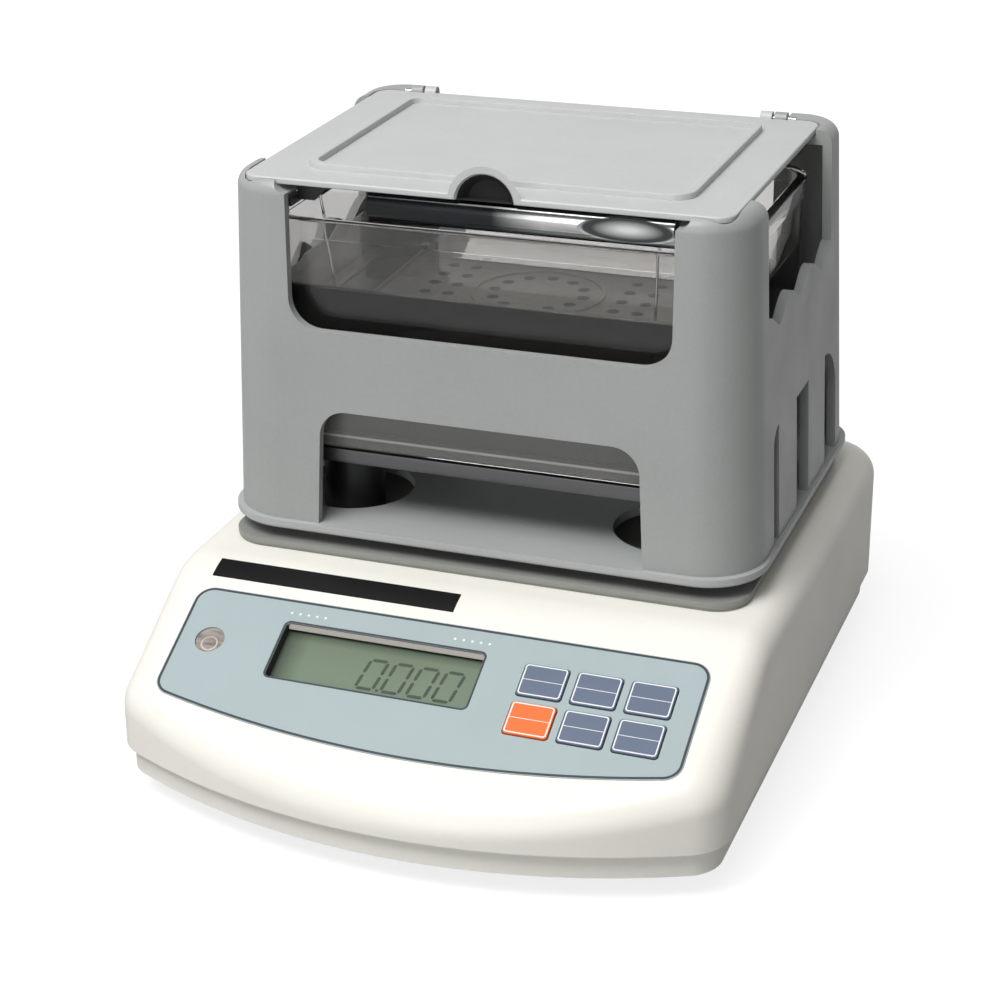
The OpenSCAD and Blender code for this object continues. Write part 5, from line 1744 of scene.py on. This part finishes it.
@dataclass
class PolishedBar:
    """Bar under the lid's front edge, with a bulging face and a shallow oval dimple."""

    x0: float = -36
    x1: float = 60
    face: float = -56.4
    depth: float = 4.2
    h: float = 9.7
    top: float = 182
    bulge: float = 2.6
    dimple_x: float = 46
    dimple_half: float = 15
    dimple_t: float = 1.2
    dimple_steps: int = 28

    def build(self) -> None:
        """Build and dress the bar."""
        middle = self.top - self.h / 2
        r = ((self.h / 2) ** 2 + self.bulge ** 2) / (2 * self.bulge)
        lean = math.degrees(math.asin(self.h / 2 / r))
        back = self.face + self.depth
        profile = arc(self.face + r, middle, r, 180 + lean, 180 - lean, 40)
        profile += [(back, self.top), (back, self.top - self.h)]
        bar = Solid.prism(profile, self.x0, self.x1).moved(ALONG_X)
        ball = (self.dimple_half ** 2 + self.dimple_t ** 2) / (2 * self.dimple_t)
        reach = self.dimple_half + 2
        spans = (reach * i / self.dimple_steps for i in range(self.dimple_steps, -1, -1))
        cap = [(v, math.sqrt(ball ** 2 - v ** 2) - ball) for v in spans]
        tool = Solid.lathe([(0, -6), (reach, -6)] + cap, 128).moved(ALONG_Y)
        bar.cut(tool.shifted(self.dimple_x, self.face + self.dimple_t, middle))
        bar.moved(IN_FRAME).place("lid_edge_bar", "lid", Finishes.polished, ["lid_bar"], sharp=7)


@dataclass
class Tank:
    """Clear water tank with a lip, and the water in it."""

    half: Point = (76.7, 53.2)
    wall: float = 2.75
    z0: float = 94.5
    z1: float = 170.5
    foot: tuple[Point3, ...] = ((2, 12, 0), (1.1, 12.9, 0.2), (0.6, 13.4, 0.7), (0.15, 13.9, 1.5),
                                (0, 14, 2.2))
    lip_half: Point = (77.5, 54.0)
    lip_r: float = 17
    lip_h: float = 6
    draft: float = 1.6
    widening: float = 2.2
    floor_z: float = 99.5
    floor_r: float = 3
    water_z: float = 148.5
    water_gap: float = 0.06
    water_rim: tuple[Point, ...] = ((0.9, 0.06), (0.35, 0.06), (0.1, -0.35), (0, -1.1))

    def outside(self, inset: float, r: float, z: float, half: Point | None = None) -> list[Point3]:
        """Give a level ring of the outer wall, or round other half sizes, moved in."""
        x, y = half or self.half
        return at_height(rounded(2 * (x - inset), 2 * (y - inset), r), z)

    def inside(self, z: float, grow: float = 0) -> list[Point3]:
        """Give a level ring of the inner wall.

        Args:
            z: Height.
            grow: How far it is moved out.

        Returns:
            The ring.
        """
        share = (z - self.floor_z - 1.2) / (self.z1 - self.floor_z - 0.2)
        inset = self.wall + self.draft * (1 - share) - grow
        x, y = self.half
        return at_height(rounded(2 * (x - inset), 2 * (y - inset), 12.25 + 2 * share + grow), z)

    def floor_ring(self, i: int, gap: float = 0) -> list[Point3]:
        """Give a ring of the inner foot's rounding, from 0 on the wall to 6 on the floor."""
        inward, left = quarter(i, 6)
        return self.inside(self.floor_z + self.floor_r * left - gap, gap - self.floor_r * inward)

    def build(self) -> None:
        """Build and dress the tank and the water."""
        under_lip = self.z1 - self.lip_h
        outer = [self.outside(self.draft + inset, r, self.z0 + rise)
                 for inset, r, rise in self.foot]
        _, foot_r, foot_h = self.foot[-1]
        share = (under_lip - self.z0 - foot_h) / (self.z1 - self.z0 - foot_h)
        outer.append(self.outside(self.draft * (1 - share), foot_r + self.widening * share,
                                  under_lip))
        for d, z in ((0.3, under_lip), (0, under_lip + 0.3), (0, self.z1 - 0.6),
                     (0.18, self.z1 - 0.18), (0.6, self.z1)):
            outer.append(self.outside(d, self.lip_r - d, z, self.lip_half))
        inner = [self.inside(self.z1 - drop, grow)
                 for drop, grow in ((0, 0.6), (0.18, 0.18), (0.6, 0))]
        inner += [self.inside(self.floor_z + 2 * self.floor_r)]
        inner += [self.floor_ring(i) for i in range(7)]
        body = Solid.loft(outer + inner)
        body.moved(IN_FRAME).place("clear_tank", "tank", Finishes.acrylic, ["tank"], sharp=60)
        water = [self.floor_ring(i, self.water_gap) for i in range(6, -1, -1)]
        water += [self.inside(self.water_z - drop, grow) for drop, grow in self.water_rim]
        Solid.loft(water).moved(IN_FRAME).place(
            "tank_water", "tank", Finishes.water, slot="tank_clear", sharp=80)


@dataclass
class Basket:
    """Hanging rails, wires and perforated tray."""

    wire_r: float = 0.45
    wire_top: Point3 = (54.2, 50.0, 178.8)
    wire_foot: Point3 = (49.6, 38.6, 114.3)

    def build(self) -> None:
        """Build and dress the basket."""
        dress_copy("hanger_rails", "hanger_rail_mouldings", Finishes.black, 0.35, 45, "basket")
        top, foot = Vector(self.wire_top), Vector(self.wire_foot)
        paths = []
        for turn in (Vector((side_x, side_y, 1)) for side_x in SIDES for side_y in SIDES):
            chain = (top.lerp(foot, share) * turn + Vector((0, FRAME_Y, 0))
                     for share in (0, 0.5, 1))
            paths.append([tuple(p) for p in chain])
        wires = TUBES.wires(paths, self.wire_r, Finishes.bright_steel)
        wires.place("hanger_wire_rods", "basket", Finishes.bright_steel, ["hanger_wires"])
        dress_copy("basket_tray", "perforated_tray", Finishes.tray, 0.2, 50, "basket")


@dataclass
class StageParts:
    """Plate on the housing, posts, pads and tank platform."""

    plate_round: float = 0.35
    post_round: float = 0.4
    pad_round: float = 0.3

    def build(self) -> None:
        """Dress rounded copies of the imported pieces."""
        dress_copy("stage_plate", "stage_plate_sheet", Finishes.grey_stage, self.plate_round)
        dress_copy("tank_posts", "tank_post_mouldings", Finishes.black_post_painted_sheen, self.post_round, 60)
        dress_copy("post_pads", "post_pad_rubbers", Finishes.rubber, self.pad_round, 60)
        dress_copy("tank_platform", "tank_platform_sheet", Finishes.platform, self.pad_round)


def dress_nodes() -> None:
    """Give the nodes that are shown as packed their finishes."""
    names = {
        Finishes.steel: ("shell_screws", "cell_screws", "frame_screws", "bracket_screws",
                         "cell_top_bracket", "chassis_plate", "serial_port"),
        Finishes.bright_steel: ("hinge_pins",),
        Finishes.aluminium: ("spigot", "load_cell", "cell_base_block"),
        Finishes.brass: ("overload_stop",),
        Finishes.board: ("display_board", "main_board"),
        Finishes.black: ("key_switches", "dc_inlet", "switch_housing", "power_rocker",
                         *(f"foot_wheel_{corner}" for corner in CORNERS)),
        Finishes.rubber: tuple(f"foot_pad_{corner}" for corner in CORNERS),
    }
    for finish, nodes in names.items():
        for slot in (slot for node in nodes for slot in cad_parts[node].material_slots):
            slot.material = finish.material()


@dataclass(frozen=True)
class Lamp:
    """Soft square lamp, in metres, whose level 1 shows colours as they are."""

    name: str
    place: Point3
    aim: Point3
    size: float
    level: float
    shine: bool = True

    def hang(self) -> None:
        """Hang the lamp."""
        light = bpy.data.lights.new(self.name, "AREA")
        light.size = self.size
        away = Vector(self.place) - Vector(self.aim)
        light.energy = self.level * math.pi ** 2 * away.length_squared
        lamp = bpy.data.objects.new(self.name, light)
        lamp.location = self.place
        lamp.rotation_euler = away.to_track_quat("Z", "Y").to_euler()
        lamp.visible_glossy = self.shine
        bpy.context.scene.collection.objects.link(lamp)


@dataclass
class Studio:
    """Floor, backdrop, lamps and camera."""

    eye: Point3 = (0.2382, -0.6719, 0.3833)
    azimuth: float = 21.95
    elevation: float = 23.48
    roll: float = -1.26
    lens: float = 86.1
    shift: Point = (0.0803, 0.001)
    sensor: float = 36
    sight: float = 20
    sky: float = 0.4
    shine_rise: Point = (0.12, 0.55)
    shine_level: Point = (0.75, 0.12)
    white_seen_through: float = 0.85
    floor_half: float = 6
    floor_seen: float = 0.3
    floor_glow: float = 0.8
    floor_seen_through: float = 0.7
    floor_mirrored: float = 0.4
    far_floor: Point = (1.0, 2.2)
    lamps: tuple[Lamp, ...] = (
        Lamp("key_lamp", (-0.62, -0.85, 1.85), (0, 0, 0.08), 1.1, 0.6),
        Lamp("front_lamp", (-0.1, -0.95, 1.75), (0, 0, 0.08), 0.9, 0.36),
        Lamp("fill_lamp", (-0.1, -1.9, 0.45), (0, 0, 0.06), 1.0, 0.2),
        Lamp("back_lamp", (-0.2, 1.9, 0.42), (0, 0, 0.1), 1.0, 0.3, shine=False))

    def camera(self) -> None:
        """Set the camera at the photograph's place."""
        az, el, roll = (math.radians(v) for v in (self.azimuth, self.elevation, self.roll))
        ahead = Vector((-math.sin(az) * math.cos(el), math.cos(az) * math.cos(el), -math.sin(el)))
        level = Vector((math.cos(az), math.sin(az), 0))
        upright = level.cross(ahead)
        right = level * math.cos(roll) + upright * math.sin(roll)
        up = upright * math.cos(roll) - level * math.sin(roll)
        data = bpy.data.cameras.new("camera")
        data.sensor_width = self.sensor
        data.lens = self.lens
        data.shift_x, data.shift_y = self.shift
        data.clip_end = self.sight
        camera = bpy.data.objects.new("camera", data)
        turn = Matrix((right, up, -ahead)).transposed().to_4x4()
        camera.matrix_world = Matrix.Translation(self.eye) @ turn
        bpy.context.scene.collection.objects.link(camera)
        bpy.context.scene.camera = camera

    def by_ray(self, tree: bpy.types.NodeTree, **shares: float) -> Socket:
        """Give a share for each kind of ray, and 0 for the others.

        Args:
            tree: Node tree that gets the nodes.
            shares: Share for each kind of ray.

        Returns:
            The largest share that holds for a ray.
        """
        path = tree.nodes.new("ShaderNodeLightPath")
        first, *others = (joined(tree, path.outputs[f"Is {name} Ray"], share, Maths.TIMES)
                          for name, share in shares.items())
        for other in others:
            first = joined(tree, first, other, Maths.LARGER)
        return first

    def world(self) -> None:
        """Set a white backdrop that gives soft light and is mirrored darker higher up."""
        world = bpy.data.worlds.new("studio")
        world.use_nodes = True
        tree = world.node_tree
        back = tree.nodes["Background"]
        split = tree.nodes.new("ShaderNodeSeparateXYZ")
        feed(split.inputs[0], tree.nodes.new("ShaderNodeTexCoord").outputs["Generated"])
        light = mapped(tree, split.outputs["Z"], new=(0, self.sky))
        shine = mapped(tree, split.outputs["Z"], self.shine_rise, self.shine_level)

        def mixed(share: Socket, low: Socket, high: Socket | float) -> Socket:
            """Mix two levels.

            Args:
                share: Share of the second.
                low: First level.
                high: Second level.

            Returns:
                The mixed level.
            """
            mix = tree.nodes.new("ShaderNodeMix")
            for key, value in (("Factor", share), ("A", low), ("B", high)):
                feed(mix.inputs[key], value)
            return mix.outputs["Result"]
        unseen = mixed(self.by_ray(tree, Glossy=1), light, shine)
        seen = self.by_ray(tree, Camera=1, Transmission=self.white_seen_through)
        back.inputs["Color"].default_value = (1, 1, 1, 1)
        feed(back.inputs["Strength"], mixed(seen, unseen, 1))
        bpy.context.scene.world = world

    def floor(self) -> None:
        """Lay the pale floor, which keeps the shadow and is white far away."""
        half = self.floor_half
        mesh = bpy.data.meshes.new("floor")
        mesh.from_pydata([(x * half, y * half, 0) for x, y in ((-1, -1), (1, -1), (1, 1), (-1, 1))],
                         [], [(0, 1, 2, 3)])
        floor = bpy.data.objects.new("floor", mesh)
        paper = Graph("floor_paper")
        tree = paper.tree
        away = tree.nodes.new("ShaderNodeVectorMath")
        away.operation = "LENGTH"
        feed(away.inputs[0], paper.place)
        far = mapped(tree, away.outputs["Value"], self.far_floor)
        near = joined(tree, self.by_ray(tree, Camera=1, Transmission=self.floor_seen_through,
                                        Glossy=self.floor_mirrored), self.floor_glow, Maths.TIMES)
        seen_far = joined(tree, self.by_ray(tree, Camera=1), far, Maths.TIMES)
        paper.put(BaseColor=(self.floor_seen,) * 3, Roughness=0.9, SpecularIORLevel=0.1,
                  EmissionColor=(1.0, 1.0, 1.0),
                  EmissionStrength=joined(tree, near, seen_far, Maths.LARGER))
        mesh.materials.append(paper.material)
        bpy.context.scene.collection.objects.link(floor)

    def build(self) -> None:
        """Set up the studio."""
        self.camera()
        self.world()
        self.floor()
        for lamp in self.lamps:
            lamp.hang()
        bpy.context.scene.view_settings.view_transform = "Standard"


def main() -> None:
    """Build the whole instrument and its studio, in order."""
    logging.basicConfig(level=logging.INFO, format="%(message)s")
    Studio().build()
    parts = (Housing(), Panel(), WeighingFrame(), Lid(), PolishedBar(), Tank(), Basket(),
             StageParts())
    for part in parts:
        LOG.info("building %s", type(part).__name__)
        part.build()
    dress_nodes()


if __name__ == "__main__":
    main()
